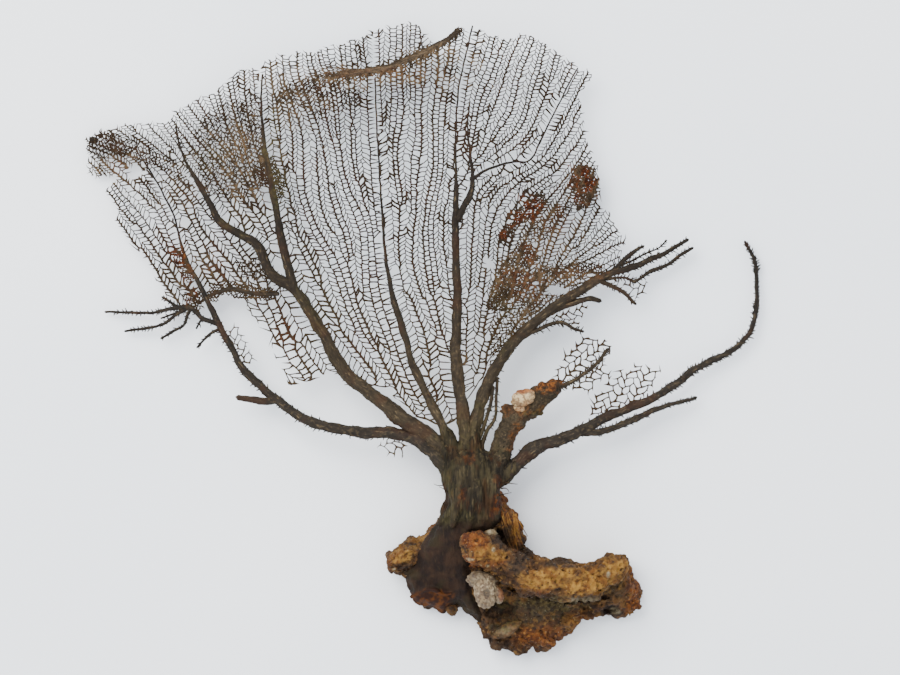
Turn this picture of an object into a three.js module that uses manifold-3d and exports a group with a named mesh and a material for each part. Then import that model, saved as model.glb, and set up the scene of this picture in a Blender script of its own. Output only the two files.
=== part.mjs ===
// A dried sea fan lying on its back, with the piece of crusted rock that it grew on.
// Millimetres, +Z up, +X to the right of the fan, +Y towards its upper margin.
// The origin is under the middle of the whole object, on the surface that it rests on.

import * as THREE from 'three';
import { mergeVertices } from 'three/addons/utils/BufferGeometryUtils.js';
import Module from 'manifold-3d';

const wasm = await Module();
wasm.setup();

// Driving dimensions
const gap = 0.35; // between neighbouring pieces
const stemGap = 1; // between the coarser facets of the foot and the rock
const cellWidth = 17; // of the net's cells, across the ribs
const cellLength = 23.5; // along the ribs
const stepsPerCell = 4;
const limbCatch = 0.26; // share of a cell's width within which a limb takes up a junction
const scrapScale = 0.68; // of the cells in the scraps and the flap
const strandWidth = 2.0;
const strandHeight = 1.7;
const sheetReach = 28; // how far each height below is felt
const foldWall = 22; // length of net that hangs down behind the fold
const foldAngle = 76; // of that wall, in degrees
const skirtAngle = 14; // of the net beyond it
const limbSides = 6;
const twigSides = 4;
const twigRadius = 1.8; // a thicker root makes a limb
const limbStep = 20; // length of one facet along a limb

const spineWidth = 1.8;
const spineLean = 0.8; // how far a spine leans towards its limb's tip

const rock = { color: 0x6b4a2a, roughness: 0.95 };
const horn = { color: 0x5a4a38, roughness: 0.85 };
const shell = { color: 0xcdbb9c, roughness: 0.8 };

// Heights of the warped sheet at chosen places: x, y, z
const sheetHeights = [
  [30, -95, 30],
  [27, -62, 31],
  [-25, 50, 34],
  [-25, 125, 38],
  [-62, 138, 35],
  [18, 160, 36],
  [22, 105, 36],
  [-75, 27, 27],
  [-125, 82, 21],
  [-150, 108, 13],
  [-200, 119, 4],
  [-182, 68, 7],
  [-112, 158, 13],
  [-107, -20, 15],
  [-36, -57, 26],
  [-145, 45, 13],
  [-185, 12, 4],
  [73, 14, 27],
  [150, 50, 13],
  [105, 95, 15],
  [95, 158, 15],
  [60, 176, 24],
  [64, -40, 34],
  [98, -12, 27],
  [70, -65, 26],
  [125, -42, 16],
  [188, -8, 8],
  [200, 50, 4],
];

// The fold near the upper margin, from left to right
const foldRidge = [
  [-80, 146],
  [-57, 153],
  [-21, 158],
  [2, 168],
  [30, 185],
];
const foldEnds = { left: [-104, -66], right: [14, 42] };

// Outline of the main sheet, seen from above
const sheetOutline = [
  [-203, 120], [-190, 126], [-178, 129], [-153, 131], [-144, 140], [-127, 147], [-110, 160],
  [-89, 168], [-68, 172], [-44, 179], [-28, 186], [-5, 191], [7, 176], [30, 185], [48, 178],
  [64, 182], [81, 171], [94, 161], [104, 158], [94, 145], [98, 122], [106, 102], [106, 81],
  [113, 74], [122, 58], [116, 40], [94, 27], [73, 13], [55, -3], [42, -23], [36, -40],
  [27, -58], [8, -52], [-10, -52], [-30, -34], [-52, -22], [-66, -24], [-80, -30], [-88, -10],
  [-100, 10], [-112, 30], [-126, 24], [-132, 14], [-148, 20], [-157, 28], [-164, 44],
  [-175, 56], [-185, 68], [-184, 80], [-193, 88], [-183, 97], [-203, 98],
];

// Limbs: points along the middle with the radius there: x, y, radius
const farLeftLimb = [
  [22, -86, 5.0], [12, -75, 4.4], [-2, -62, 3.8], [-18, -57, 3.4], [-36, -57, 3.2], [-65, -51, 2.9],
  [-84, -40, 2.6], [-107, -20, 2.2], [-114, -8, 2.0], [-130, 23, 1.7], [-143, 49, 1.3], [-150, 74, 1.0],
  [-161, 95, 0.9], [-174, 115, 0.9],
];
const bigLeftLimb = [
  [20, -80, 6.0], [10, -64, 5.2], [-6, -53, 4.8], [-25, -38, 4.3], [-46, -21, 3.9], [-60, 3, 3.5],
  [-75, 27, 3.2], [-90, 38, 2.9], [-100, 56, 2.6], [-120, 68, 2.2], [-128, 81, 1.9],
  [-140, 95, 1.4], [-158, 107, 1.0], [-176, 116, 0.9], [-202, 120, 0.9],
];
const leftFork = [
  [-77, 29, 3.0], [-84, 57, 2.4], [-89, 85, 2.0], [-94, 112, 1.5], [-97, 140, 1.1], [-98, 165, 0.9],
];
const innerLeftLimb = [
  [19, -66, 3.2], [6, -41, 2.7], [-6, -15, 2.3], [-10, 0, 2.0], [-19, 30, 1.6], [-23, 60, 1.2],
  [-25, 92, 1.0], [-27, 125, 0.9], [-28, 154, 0.9], [-30, 188, 0.9],
];
const centreLimb = [
  [26, -84, 5.5], [26, -60, 4.2], [23, -37, 3.8], [20, -9, 3.3], [21, 26, 2.6], [20, 49, 2.3],
  [20, 76, 1.9], [20, 99, 1.2], [20, 122, 1.0], [22, 150, 0.9], [30, 186, 0.9],
];
const centreFork = [[21, 70, 2.0], [28, 84, 1.7], [30, 97, 1.4], [27, 122, 1.0], [28, 140, 0.9]];
const centreBranch = [
  [29, 94, 1.5], [39, 100, 1.2], [54, 105, 1.1], [64, 106, 1.0], [70, 116, 1.0], [82, 141, 0.9],
  [93, 162, 0.9],
];
const innerRib = [[48, 20, 1.0], [55, 70, 1.1], [60, 99, 0.9]];
const rightLimb = [
  [31, -76, 4.6], [31, -55, 3.8], [36, -35, 3.6], [44, -18, 3.4], [55, -2, 3.2], [73, 14, 3.0],
  [94, 28, 2.7], [112, 38, 2.4], [125, 42, 2.0], [144, 50, 1.5], [160, 59, 1.0],
];
const rightUpperTip = [[114, 40, 1.6], [125, 50, 1.2], [133, 55, 0.9]];
const rightLowerTip = [[124, 36, 1.5], [139, 41, 1.3], [152, 48, 1.1], [163, 54, 0.9]];
const rightTwig = [[106, 34, 1.4], [119, 28, 1.2], [128, 20, 0.9]];
const shortLimb = [
  [44, -78, 5.4], [49, -60, 5.6], [55, -48, 5.8], [64, -40, 6.0], [73, -34, 5.6], [80, -29, 4.2],
];
const shortTwig = [[76, -31, 1.6], [88, -27, 1.3], [102, -18, 1.1], [111, -7, 0.9]];
const lowerRightLimb = [
  [42, -86, 5.2], [50, -81, 4.6], [58, -74, 4.2], [70, -65, 3.9], [85, -60, 3.6], [100, -53, 3.2],
  [114, -46, 2.8], [135, -38, 2.4], [152, -28, 2.1], [166, -18, 1.9], [186, -8, 1.6], [197, 2, 1.4],
  [201, 14, 1.3], [202, 32, 1.2], [201, 46, 1.1], [195, 58, 0.9],
];
const lowerRightFork = [[94, -57, 2.4], [110, -56, 2.0], [127, -49, 1.7], [144, -42, 1.4], [165, -36, 1.0]];
const bareTwigs = [
  [[-130, 20, 1.5], [-146, 18, 1.3], [-170, 15, 1.1], [-193, 15, 0.8]],
  [[-144, 19, 1.2], [-164, 7, 1.0], [-181, 4, 0.8]],
  [[-138, 22, 1.1], [-150, 12, 0.9], [-159, 0, 0.8]],
  [[-124, 10, 1.1], [-137, -6, 0.8]],
];
const brokenStub = [[-86, -38, 2.1], [-98, -38, 2.0], [-111, -36, 1.7]];
const leftCrossBranch = [[-86, 28, 1.5], [-100, 28, 1.3], [-113, 28, 1.1], [-129, 26, 0.9]];

// Growth line of the lobe outside the far left limb
const lobeGuide = [[-112, -12], [-136, 20], [-162, 52], [-190, 88]];

// Second layer of net, folded under the sheet beside the left fork
const flapOutline = [
  [-97, 147], [-94, 112], [-89, 92], [-98, 90], [-110, 84], [-126, 84], [-135, 96], [-140, 114],
  [-135, 132], [-122, 142],
];
const flapSag = 8;
const flapSpread = 22;

// Scraps of net that two lower limbs still carry
const upperScrap = [
  [77, -31], [82, -17], [88, -8], [95, -1], [106, 1], [115, -5], [108, -17], [113, -25], [100, -32], [88, -32],
];
const lowerScrap = [
  [100, -53], [101, -38], [109, -28], [117, -20], [130, -16], [143, -20], [139, -29], [131, -38], [118, -46],
];

// The stem and its spreading foot: x, y, z, half width, half height
const stem = [
  [25, -67, 31, 9, 4], [26, -72, 31, 14.5, 7], [28, -80, 31, 17, 9], [30, -95, 30, 16.4, 10.5],
  [29, -107, 30, 18.5, 11.5], [24, -120, 30, 24, 10], [18, -134, 29, 24, 8], [14, -148, 26, 21, 6],
  [12, -160, 21, 14, 4.5], [11, -167, 17, 6, 3],
];

// Lumps of the rock: x, y, z, half sizes, turn about Z in degrees
const rockLumps = [
  { at: [14, -139, 10], size: [34, 30, 13], turn: 0 },
  { at: [-8, -134, 19], size: [14, 9, 12], turn: 20, small: true },
  { at: [60, -152, 18], size: [36, 24, 20], turn: -8 },
  { at: [62, -176, 12], size: [30, 15, 13], turn: 6, small: true },
  { at: [92, -147, 20], size: [34, 14, 18], turn: 4, small: true },
  { at: [120, -150, 19], size: [15, 17, 18], turn: -30, small: true },
  { at: [46, -116, 20], size: [13, 19, 19], turn: -12, small: true },
];
// The ridge that runs over the rock to its right end: x, y, z, half width, half height
const rockRidge = [
  [31, -123, 34, 4, 6], [36, -127, 37, 9, 12], [48, -133, 39, 10, 13], [64, -142, 40, 10, 13],
  [84, -146, 40, 10, 12], [104, -143, 37, 9, 12], [118, -137, 32, 8, 12], [125, -133, 28, 4, 6],
];
const rockRidgeSteps = 9;
const rockRidgeSides = 8;
const rockHollows = [
  { at: [50, -118, 48], size: [9, 6, 14], turn: -50 },
  { at: [47, -166, 34], size: [11, 5.5, 15], turn: 10 },
];
const stemSteps = 11;
const stemSides = 12;
const rockFacets = 2;
const smallFacets = 1;
const rockRoughness = 0.09;
const ballBarnacle = { at: [38, -150, 40], size: [10, 11, 9], turn: 0 };
const paleBarnacle = { at: [61, -36.5, 37.5], size: [7.5, 5.5, 4], turn: 30 };

// Small steps of arithmetic on the plan
const lerp = (a, b, t) => a + (b - a) * t;
const smooth = (low, high, value) => {
  const t = Math.min(1, Math.max(0, (value - low) / (high - low)));
  return t * t * (3 - 2 * t);
};

function alongRidge(u) {
  const last = foldRidge.length - 1;
  if (u <= foldRidge[0][0]) return foldRidge[0][1];
  for (let i = 0; i < last; i++) {
    const [x0, y0] = foldRidge[i];
    const [x1, y1] = foldRidge[i + 1];
    if (u <= x1) return lerp(y0, y1, (u - x0) / (x1 - x0));
  }
  return foldRidge[last][1];
}

// How far the net beyond the fold advances and falls, for a length of net past the ridge
function fold(u, v) {
  const past = v - alongRidge(u);
  const strength = smooth(...foldEnds.left, u) * (1 - smooth(...foldEnds.right, u));
  if (past <= 0 || strength === 0) return { y: v, drop: 0 };
  const wall = THREE.MathUtils.degToRad(foldAngle * strength);
  const skirt = THREE.MathUtils.degToRad(skirtAngle * strength);
  const steep = Math.min(past, foldWall);
  const rest = past - steep;
  const advance = steep * Math.cos(wall) + rest * Math.cos(skirt);
  const drop = steep * Math.sin(wall) + rest * Math.sin(skirt);
  return { y: v - past + advance, drop };
}

// The flat net's coordinate for a place seen from above
function unfold([x, y]) {
  let low = y;
  let high = y + 2 * foldWall;
  for (let i = 0; i < 30; i++) {
    const middle = (low + high) / 2;
    if (fold(x, middle).y < y) low = middle;
    else high = middle;
  }
  return [x, (low + high) / 2];
}

function sheetHeight(x, y) {
  let sum = 0;
  let weights = 0;
  for (const [px, py, pz] of sheetHeights) {
    const weight = Math.exp(-((x - px) ** 2 + (y - py) ** 2) / (2 * sheetReach ** 2)) + 1e-9;
    sum += weight * pz;
    weights += weight;
  }
  return sum / weights;
}

function sheetPoint(u, v) {
  const { y, drop } = fold(u, v);
  return new THREE.Vector3(u, y, sheetHeight(u, y) - drop);
}

function sheetNormal(u, v) {
  const d = 1;
  const across = sheetPoint(u + d, v).sub(sheetPoint(u - d, v));
  const along = sheetPoint(u, v + d).sub(sheetPoint(u, v - d));
  return across.cross(along).normalize();
}

// Solids
function solid(geometry) {
  const bare = new THREE.BufferGeometry();
  bare.setAttribute('position', geometry.getAttribute('position'));
  bare.setIndex(geometry.getIndex());
  const merged = mergeVertices(bare, 1e-4);
  const mesh = new wasm.Mesh({
    numProp: 3,
    vertProperties: merged.attributes.position.array,
    triVerts: new Uint32Array(merged.index.array),
  });
  return new wasm.Manifold(mesh);
}

function geometryOf(body) {
  const { vertProperties, triVerts } = body.getMesh();
  const geometry = new THREE.BufferGeometry();
  geometry.setAttribute('position', new THREE.BufferAttribute(new Float32Array(vertProperties), 3));
  geometry.setIndex(new THREE.BufferAttribute(new Uint32Array(triVerts), 1));
  return geometry;
}

const joined = (bodies) => bodies.reduce((a, b) => a.add(b));
const largestPiece = (body) => body.decompose().sort((a, b) => b.volume() - a.volume())[0];

// A capped cylinder bent along a curve: sectionAt(t) gives its half width and half height there,
// and its ends run on by overrun
function bent(curve, steps, sides, sectionAt, overrun = 0) {
  const geometry = new THREE.CylinderGeometry(1, 1, 1, sides, steps);
  const place = geometry.getAttribute('position');
  const up = new THREE.Vector3(0, 0, 1);
  for (let i = 0; i < place.count; i++) {
    const t = 0.5 - place.getY(i);
    const [width, height] = sectionAt(t);
    const along = curve.getTangent(t);
    const side = new THREE.Vector3().crossVectors(along, up).normalize();
    const top = new THREE.Vector3().crossVectors(side, along);
    const point = curve.getPoint(t).addScaledVector(along, (t === 1) * overrun - (t === 0) * overrun);
    point.addScaledVector(side, place.getX(i) * width).addScaledVector(top, place.getZ(i) * height);
    place.setXYZ(i, point.x, point.y, point.z);
  }
  const body = solid(geometry);
  return body.volume() < 0 ? flipped(geometry) : body;
}

function flipped(geometry) {
  const index = geometry.getIndex().array;
  for (let i = 0; i < index.length; i += 3) {
    [index[i + 1], index[i + 2]] = [index[i + 2], index[i + 1]];
  }
  return solid(geometry);
}

// Linear interpolation of column k of a list of points, at t from 0 to 1
function between(list, t, k) {
  const at = Math.min(list.length - 1.000001, t * (list.length - 1));
  const i = Math.floor(at);
  return lerp(list[i][k], list[i + 1][k], at - i);
}

function limbPoints(route) {
  return route.map(([x, y]) => {
    const [u, v] = unfold([x, y]);
    return sheetPoint(u, v);
  });
}

function routeLength(route) {
  let length = 0;
  for (let i = 1; i < route.length; i++) {
    length += Math.hypot(route[i][0] - route[i - 1][0], route[i][1] - route[i - 1][1]);
  }
  return length;
}

const limbSteps = (route) => Math.max(3, Math.round(routeLength(route) / limbStep));

function limb(route) {
  const curve = new THREE.CatmullRomCurve3(limbPoints(route));
  const steps = limbSteps(route);
  const sides = route[0][2] > twigRadius ? limbSides : twigSides;
  return bent(curve, steps, sides, (t) => [between(route, t, 2), between(route, t, 2)]);
}

// Upright prism over a polygon of the plan
function prism(points) {
  const shape = new THREE.Shape(points.map(([x, y]) => new THREE.Vector2(x, y)));
  const geometry = new THREE.ExtrudeGeometry(shape, { depth: 160, bevelEnabled: false });
  geometry.translate(0, 0, -40);
  return solid(geometry);
}

// Upright ribbon that clears a limb by the gap
function clearance(route) {
  const curve = new THREE.CatmullRomCurve3(limbPoints(route));
  const steps = limbSteps(route);
  const left = [];
  const right = [];
  for (let i = 0; i <= steps; i++) {
    const t = i / steps;
    const point = curve.getPoint(t);
    const along = curve.getTangent(t).setZ(0).normalize();
    const reach = between(route, t, 2) + gap;
    left.push([point.x - along.y * reach, point.y + along.x * reach]);
    right.push([point.x + along.y * reach, point.y - along.x * reach]);
  }
  return prism([...right, ...left.reverse()]);
}

// The net. Seeds are the middles of its cells, and strands run where cells meet.
function segmentDistance([px, py], [ax, ay], [bx, by]) {
  const dx = bx - ax;
  const dy = by - ay;
  const t = Math.min(1, Math.max(0, ((px - ax) * dx + (py - ay) * dy) / (dx * dx + dy * dy)));
  return Math.hypot(px - ax - t * dx, py - ay - t * dy);
}

function insidePolygon([x, y], polygon) {
  let inside = false;
  for (let i = 0, j = polygon.length - 1; i < polygon.length; j = i++) {
    const [xi, yi] = polygon[i];
    const [xj, yj] = polygon[j];
    if (yi > y !== yj > y && x < ((xj - xi) * (y - yi)) / (yj - yi) + xi) inside = !inside;
  }
  return inside;
}

const guides = [
  farLeftLimb, lobeGuide, bigLeftLimb, leftFork, innerLeftLimb, centreLimb, centreBranch, rightLimb,
];
const guideSegments = guides.flatMap((route) => {
  const flat = route.map(unfold);
  return flat.slice(1).map((end, i) => [flat[i], end]);
});

// Growth direction at a place of the flat net, from the limbs near it
function growth(place) {
  let gx = 0;
  let gy = 0;
  for (const [a, b] of guideSegments) {
    const length = Math.hypot(b[0] - a[0], b[1] - a[1]);
    const weight = 1 / (segmentDistance(place, a, b) ** 2 + 30);
    gx += ((b[0] - a[0]) / length) * weight;
    gy += ((b[1] - a[1]) / length) * weight;
  }
  const size = Math.hypot(gx, gy);
  return [gx / size, gy / size];
}

// Seeds in columns that follow the growth, evenly spaced from each other and from the limbs
function columnSeeds(outline) {
  const step = cellLength / stepsPerCell;
  const lines = [];
  const seeds = [];
  const distance = ([ax, ay], [bx, by]) => Math.hypot(ax - bx, ay - by);
  const inReach = (place) => insidePolygon(place, outline) || distance(place, onto(place, outline)) < cellWidth;
  const clear = (place, apart) =>
    lines.every((line) => line.every((other) => distance(place, other) > apart * cellWidth)) &&
    guideSegments.every(([a, b]) => segmentDistance(place, a, b) > apart * cellWidth * 0.48);
  const trace = (start, sign) => {
    const line = [];
    for (let place = start; ; line.push(place)) {
      const [gx, gy] = growth(place);
      place = [place[0] + sign * gx * step, place[1] + sign * gy * step];
      if (!inReach(place) || !clear(place, 0.66)) return line;
    }
  };
  const beside = ([x, y], [gx, gy], away) => [x - gy * away, y + gx * away];
  const waiting = guideSegments.flatMap(([a, b]) => {
    const middle = [(a[0] + b[0]) / 2, (a[1] + b[1]) / 2];
    return [-0.5, 0.5].map((share) => beside(middle, growth(middle), share * cellWidth));
  });
  while (waiting.length) {
    const start = waiting.shift();
    if (!inReach(start) || !clear(start, 0.92)) continue;
    const back = trace(start, -1).reverse();
    const line = [...back, start, ...trace(start, 1)];
    if (line.length < stepsPerCell) continue;
    lines.push(line);
    line.forEach((place, i) => {
      if ((i - back.length + 10 * stepsPerCell) % stepsPerCell !== stepsPerCell / 2) return;
      seeds.push(place);
      for (const sign of [-1, 1]) waiting.push(beside(place, growth(place), sign * cellWidth));
    });
  }
  return seeds;
}

// Staggered rows of seeds over a small patch, along a direction in degrees
function patchSeeds(outline, direction) {
  const seeds = [];
  const angle = THREE.MathUtils.degToRad(direction);
  const [cx, cy] = outline.reduce(([sx, sy], [x, y]) => [sx + x / outline.length, sy + y / outline.length], [0, 0]);
  for (let column = -6; column <= 6; column++) {
    for (let row = -6; row <= 6; row++) {
      const across = column * cellWidth * scrapScale;
      const along = (row + (column % 2 ? 0.5 : 0)) * cellLength * scrapScale;
      const x = cx + along * Math.cos(angle) - across * Math.sin(angle);
      const y = cy + along * Math.sin(angle) + across * Math.cos(angle);
      seeds.push([x, y]);
    }
  }
  return seeds;
}

// Delaunay triangles of the seeds, added one at a time
function triangles(seeds) {
  const far = 1e4;
  const places = [...seeds, [-far, -far], [far, -far], [0, far]];
  const circle = (a, b, c) => {
    const [[ax, ay], [bx, by], [cx, cy]] = [places[a], places[b], places[c]];
    const d = 2 * (ax * (by - cy) + bx * (cy - ay) + cx * (ay - by));
    const [a2, b2, c2] = [ax * ax + ay * ay, bx * bx + by * by, cx * cx + cy * cy];
    const x = (a2 * (by - cy) + b2 * (cy - ay) + c2 * (ay - by)) / d;
    const y = (a2 * (cx - bx) + b2 * (ax - cx) + c2 * (bx - ax)) / d;
    return { corners: [a, b, c], x, y, reach: Math.hypot(ax - x, ay - y) };
  };
  let found = [circle(seeds.length, seeds.length + 1, seeds.length + 2)];
  seeds.forEach(([px, py], p) => {
    const opened = found.filter((t) => Math.hypot(px - t.x, py - t.y) < t.reach);
    const edges = new Map();
    for (const { corners } of opened) {
      for (let k = 0; k < 3; k++) {
        const [a, b] = [corners[k], corners[(k + 1) % 3]];
        if (edges.has(`${b},${a}`)) edges.delete(`${b},${a}`);
        else edges.set(`${a},${b}`, [a, b]);
      }
    }
    found = found.filter((t) => !opened.includes(t));
    for (const [a, b] of edges.values()) found.push(circle(a, b, p));
  });
  return found.filter(({ corners }) => corners.every((k) => k < seeds.length)).map((t) => t.corners);
}

// The nearest place on a polygon's edge
function onto([px, py], polygon) {
  let best = { distance: Infinity };
  polygon.forEach(([ax, ay], i) => {
    const [bx, by] = polygon[(i + 1) % polygon.length];
    const [dx, dy] = [bx - ax, by - ay];
    const t = Math.min(1, Math.max(0, ((px - ax) * dx + (py - ay) * dy) / (dx * dx + dy * dy)));
    const place = [ax + t * dx, ay + t * dy];
    const distance = Math.hypot(px - place[0], py - place[1]);
    if (distance < best.distance) best = { distance, place };
  });
  return best.place;
}

// Strand graph: a junction in each triangle by the outline, joined across shared edges
function strandGraph(seeds, outline, reach = 0.42 * cellWidth) {
  const corners = triangles(seeds);
  const middles = corners.map((t) => [0, 1].map((k) => t.reduce((sum, i) => sum + seeds[i][k], 0) / 3));
  const snapped = middles.map((place) => (insidePolygon(place, outline) ? place : onto(place, outline)));
  const kept = snapped.map((place, i) => Math.hypot(place[0] - middles[i][0], place[1] - middles[i][1]) < reach);
  const junctions = snapped;
  const near = junctions.map(() => []);
  const open = new Map();
  corners.forEach((t, i) => {
    for (let k = 0; k < 3; k++) {
      const key = [t[k], t[(k + 1) % 3]].sort((a, b) => a - b).join();
      const other = open.get(key);
      if (other === undefined) {
        open.set(key, i);
      } else if (kept[i] && kept[other]) {
        near[i].push(other);
        near[other].push(i);
      }
    }
  });
  for (let loose = true; loose; ) {
    loose = false;
    near.forEach((list, i) => {
      if (list.length !== 1) return;
      near[list[0]] = near[list[0]].filter((k) => k !== i);
      near[i] = [];
      loose = true;
    });
  }
  return { junctions, near };
}

// Strands with a ridge above and a flat underside, one closed body for the whole graph
function netSolid({ junctions, near }, liftAt = () => 0) {
  const positions = [];
  const index = [];
  const add = ([u, v], height) => {
    const point = sheetPoint(u, v).addScaledVector(sheetNormal(u, v), height + liftAt(u, v));
    positions.push(point.x, point.y, point.z);
    return positions.length / 3 - 1;
  };
  const ring = near.map((list, i) => {
    const [x, y] = junctions[i];
    const turn = (k) => Math.atan2(junctions[k][1] - y, junctions[k][0] - x);
    return [...list].sort((a, b) => turn(a) - turn(b));
  });
  const tops = [];
  const feet = [];
  ring.forEach((list, i) => {
    if (!list.length) return;
    const [x, y] = junctions[i];
    const turn = (k) => Math.atan2(junctions[k][1] - y, junctions[k][0] - x);
    const foot = (angle, reach) => add([x + reach * Math.cos(angle), y + reach * Math.sin(angle)], -strandHeight / 2);
    tops[i] = add([x, y], strandHeight / 2);
    if (list.length === 1) {
      feet[i] = [1, -1].map((side) => foot(turn(list[0]) + (side * Math.PI) / 2, strandWidth / 2));
      index.push(tops[i], feet[i][0], feet[i][1]);
      return;
    }
    feet[i] = list.map((k, n) => {
      const a = turn(k);
      let b = turn(list[(n + 1) % list.length]);
      if (b <= a) b += 2 * Math.PI;
      const half = (b - a) / 2;
      return foot(a + half, Math.min(strandWidth / 2 / Math.sin(half), strandWidth * 1.2));
    });
    for (let k = 1; k + 1 < list.length; k++) index.push(feet[i][0], feet[i][k + 1], feet[i][k]);
  });
  const footAfter = (a, k) => feet[a][k];
  const footBefore = (a, k) => (ring[a].length === 1 ? feet[a][1] : feet[a].at(k - 1));
  ring.forEach((list, a) => {
    list.forEach((b, k) => {
      const m = ring[b].indexOf(a);
      const [footA, footB] = [footAfter(a, k), footBefore(b, m)];
      index.push(tops[a], tops[b], footB, tops[a], footB, footA);
      if (a > b) return;
      const [otherB, otherA] = [footAfter(b, m), footBefore(a, k)];
      index.push(footA, footB, otherB, footA, otherB, otherA);
    });
  });
  const geometry = new THREE.BufferGeometry();
  geometry.setAttribute('position', new THREE.BufferAttribute(new Float32Array(positions), 3));
  geometry.setIndex(index);
  return solid(geometry);
}

// A faceted lump with a rough skin
function lump({ at, size, turn }, facets = rockFacets, roughness = rockRoughness, grow = 0) {
  const geometry = mergeVertices(
    new THREE.IcosahedronGeometry(1, facets).deleteAttribute('normal').deleteAttribute('uv'),
    1e-4,
  );
  const place = geometry.getAttribute('position');
  const angle = THREE.MathUtils.degToRad(turn);
  for (let i = 0; i < place.count; i++) {
    const [x, y, z] = [place.getX(i), place.getY(i), place.getZ(i)];
    const rough =
      1 + roughness * (Math.sin(9 * x + at[0]) * Math.sin(8 * y + at[1]) + Math.sin(13 * z + 5 * x + at[2]) * 0.7);
    const [sx, sy, sz] = size.map((s) => s * rough + grow);
    const [px, py] = [x * sx, y * sy];
    place.setXYZ(
      i,
      at[0] + px * Math.cos(angle) - py * Math.sin(angle),
      at[1] + px * Math.sin(angle) + py * Math.cos(angle),
      at[2] + z * sz,
    );
  }
  return solid(geometry);
}

// Short spines in a comb along both sides of a limb, from one share of its length to another
function spines(route, count, from, to, length) {
  const curve = new THREE.CatmullRomCurve3(limbPoints(route));
  return Array.from({ length: count }, (_, i) => {
    const t = lerp(from, to, i / (count - 1));
    const along = curve.getTangent(t);
    const side = new THREE.Vector3(-along.y, along.x, 0).multiplyScalar(i % 2 ? 1 : -1);
    const lean = side.addScaledVector(along, spineLean).normalize();
    const root = between(route, t, 2);
    const cone = new THREE.ConeGeometry(spineWidth / 2, length + root, 3, 1);
    cone.translate(0, (length + root) / 2, 0);
    cone.applyQuaternion(new THREE.Quaternion().setFromUnitVectors(new THREE.Vector3(0, 1, 0), lean));
    const foot = curve.getPoint(t);
    cone.translate(foot.x, foot.y, foot.z);
    return solid(cone);
  });
}

// A flattened trunk along rows of x, y, z, half width, half height, grown all round by a little
function trunk(rows, steps, sides, grow = 0) {
  const points = rows.map(([x, y, z]) => new THREE.Vector3(x, y, z));
  const section = (t) => [between(rows, t, 3) + grow, between(rows, t, 4) + grow];
  return bent(new THREE.CatmullRomCurve3(points), steps, sides, section, grow);
}

const stemSolid = (grow) => trunk(stem, stemSteps, stemSides, grow);

function rockSolid() {
  const lumps = joined(rockLumps.map((each) => lump(each, each.small ? smallFacets : rockFacets)));
  const ridge = trunk(rockRidge, rockRidgeSteps, rockRidgeSides);
  const hollows = joined(rockHollows.map((each) => lump(each, smallFacets)));
  const under = prism([[-100, -300], [300, -300], [300, 0], [-100, 0]]).translate([0, 0, -120]);
  const seat = lump(ballBarnacle, smallFacets, rockRoughness, gap);
  return lumps.add(ridge).subtract(hollows).subtract(under).subtract(stemSolid(stemGap)).subtract(seat);
}

// Areas of the plan whose net each limb carries
const edge = 300;
const xy = (route) => route.map(([x, y]) => [x, y]);
const forkOfLeft = bigLeftLimb.findIndex(([x]) => x === -75);
const leftTrunk = xy(bigLeftLimb.slice(0, forkOfLeft + 1));
const leftEnd = xy(bigLeftLimb.slice(forkOfLeft));
const areas = {
  farLeft: [...xy(farLeftLimb.slice(4)), ...xy(bigLeftLimb.slice(-2)), [-edge, 120], [-edge, -100], [-40, -100]],
  bigLeft: [...xy(farLeftLimb.slice(2)).reverse(), ...xy(bigLeftLimb.slice(0, -1))],
  leftFork: [...xy(leftFork), [-98, edge], [-edge, edge], [-edge, 120], ...leftEnd.slice(1).reverse()],
  innerLeft: [...leftTrunk, ...xy(leftFork).slice(1), [-98, edge], [-30, edge], ...xy(innerLeftLimb).reverse()],
  centre: [...xy(innerLeftLimb), [-30, edge], [28, edge], ...xy(centreLimb).reverse()],
  centreRight: [...xy(centreLimb.slice(6)), [28, edge], [160, edge], ...xy(centreBranch).reverse()],
  right: [
    ...xy(centreLimb.slice(0, 6)), ...xy(centreFork.slice(0, 2)), ...xy(centreBranch), [160, edge], [edge, edge],
    [edge, 60], ...xy(rightLimb).reverse(),
  ],
};

// The part of the net that one limb carries. Strands run into their own limb and stop short of others.
const flatOutline = sheetOutline.map(unfold);
const sheetGraph = strandGraph(columnSeeds(flatOutline), flatOutline);
const limbLines = [
  farLeftLimb, bigLeftLimb, leftFork, innerLeftLimb, centreLimb, centreFork, centreBranch, rightLimb,
].flatMap((route) => {
  const flat = route.map(unfold);
  return flat.slice(1).map((b, i) => ({ route, a: flat[i], b, radius: route[i][2] }));
});

function limbUnder(place) {
  const found = limbLines.map((line) => ({ ...line, distance: segmentDistance(place, line.a, line.b) }));
  const nearest = found.sort((one, other) => one.distance - other.distance)[0];
  return nearest.distance < Math.max(nearest.radius, limbCatch * cellWidth) ? nearest : null;
}

// Where a strand crosses a limb's middle line, or nothing
function crossing([ax, ay], [bx, by]) {
  for (const line of limbLines) {
    const [[cx, cy], [dx, dy]] = [line.a, line.b];
    const scale = (bx - ax) * (dy - cy) - (by - ay) * (dx - cx);
    const t = ((cx - ax) * (dy - cy) - (cy - ay) * (dx - cx)) / scale;
    const s = ((cx - ax) * (by - ay) - (cy - ay) * (bx - ax)) / scale;
    if (t > 0 && t < 1 && s >= 0 && s <= 1) {
      return { place: [ax + t * (bx - ax), ay + t * (by - ay)], line };
    }
  }
  return null;
}

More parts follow.
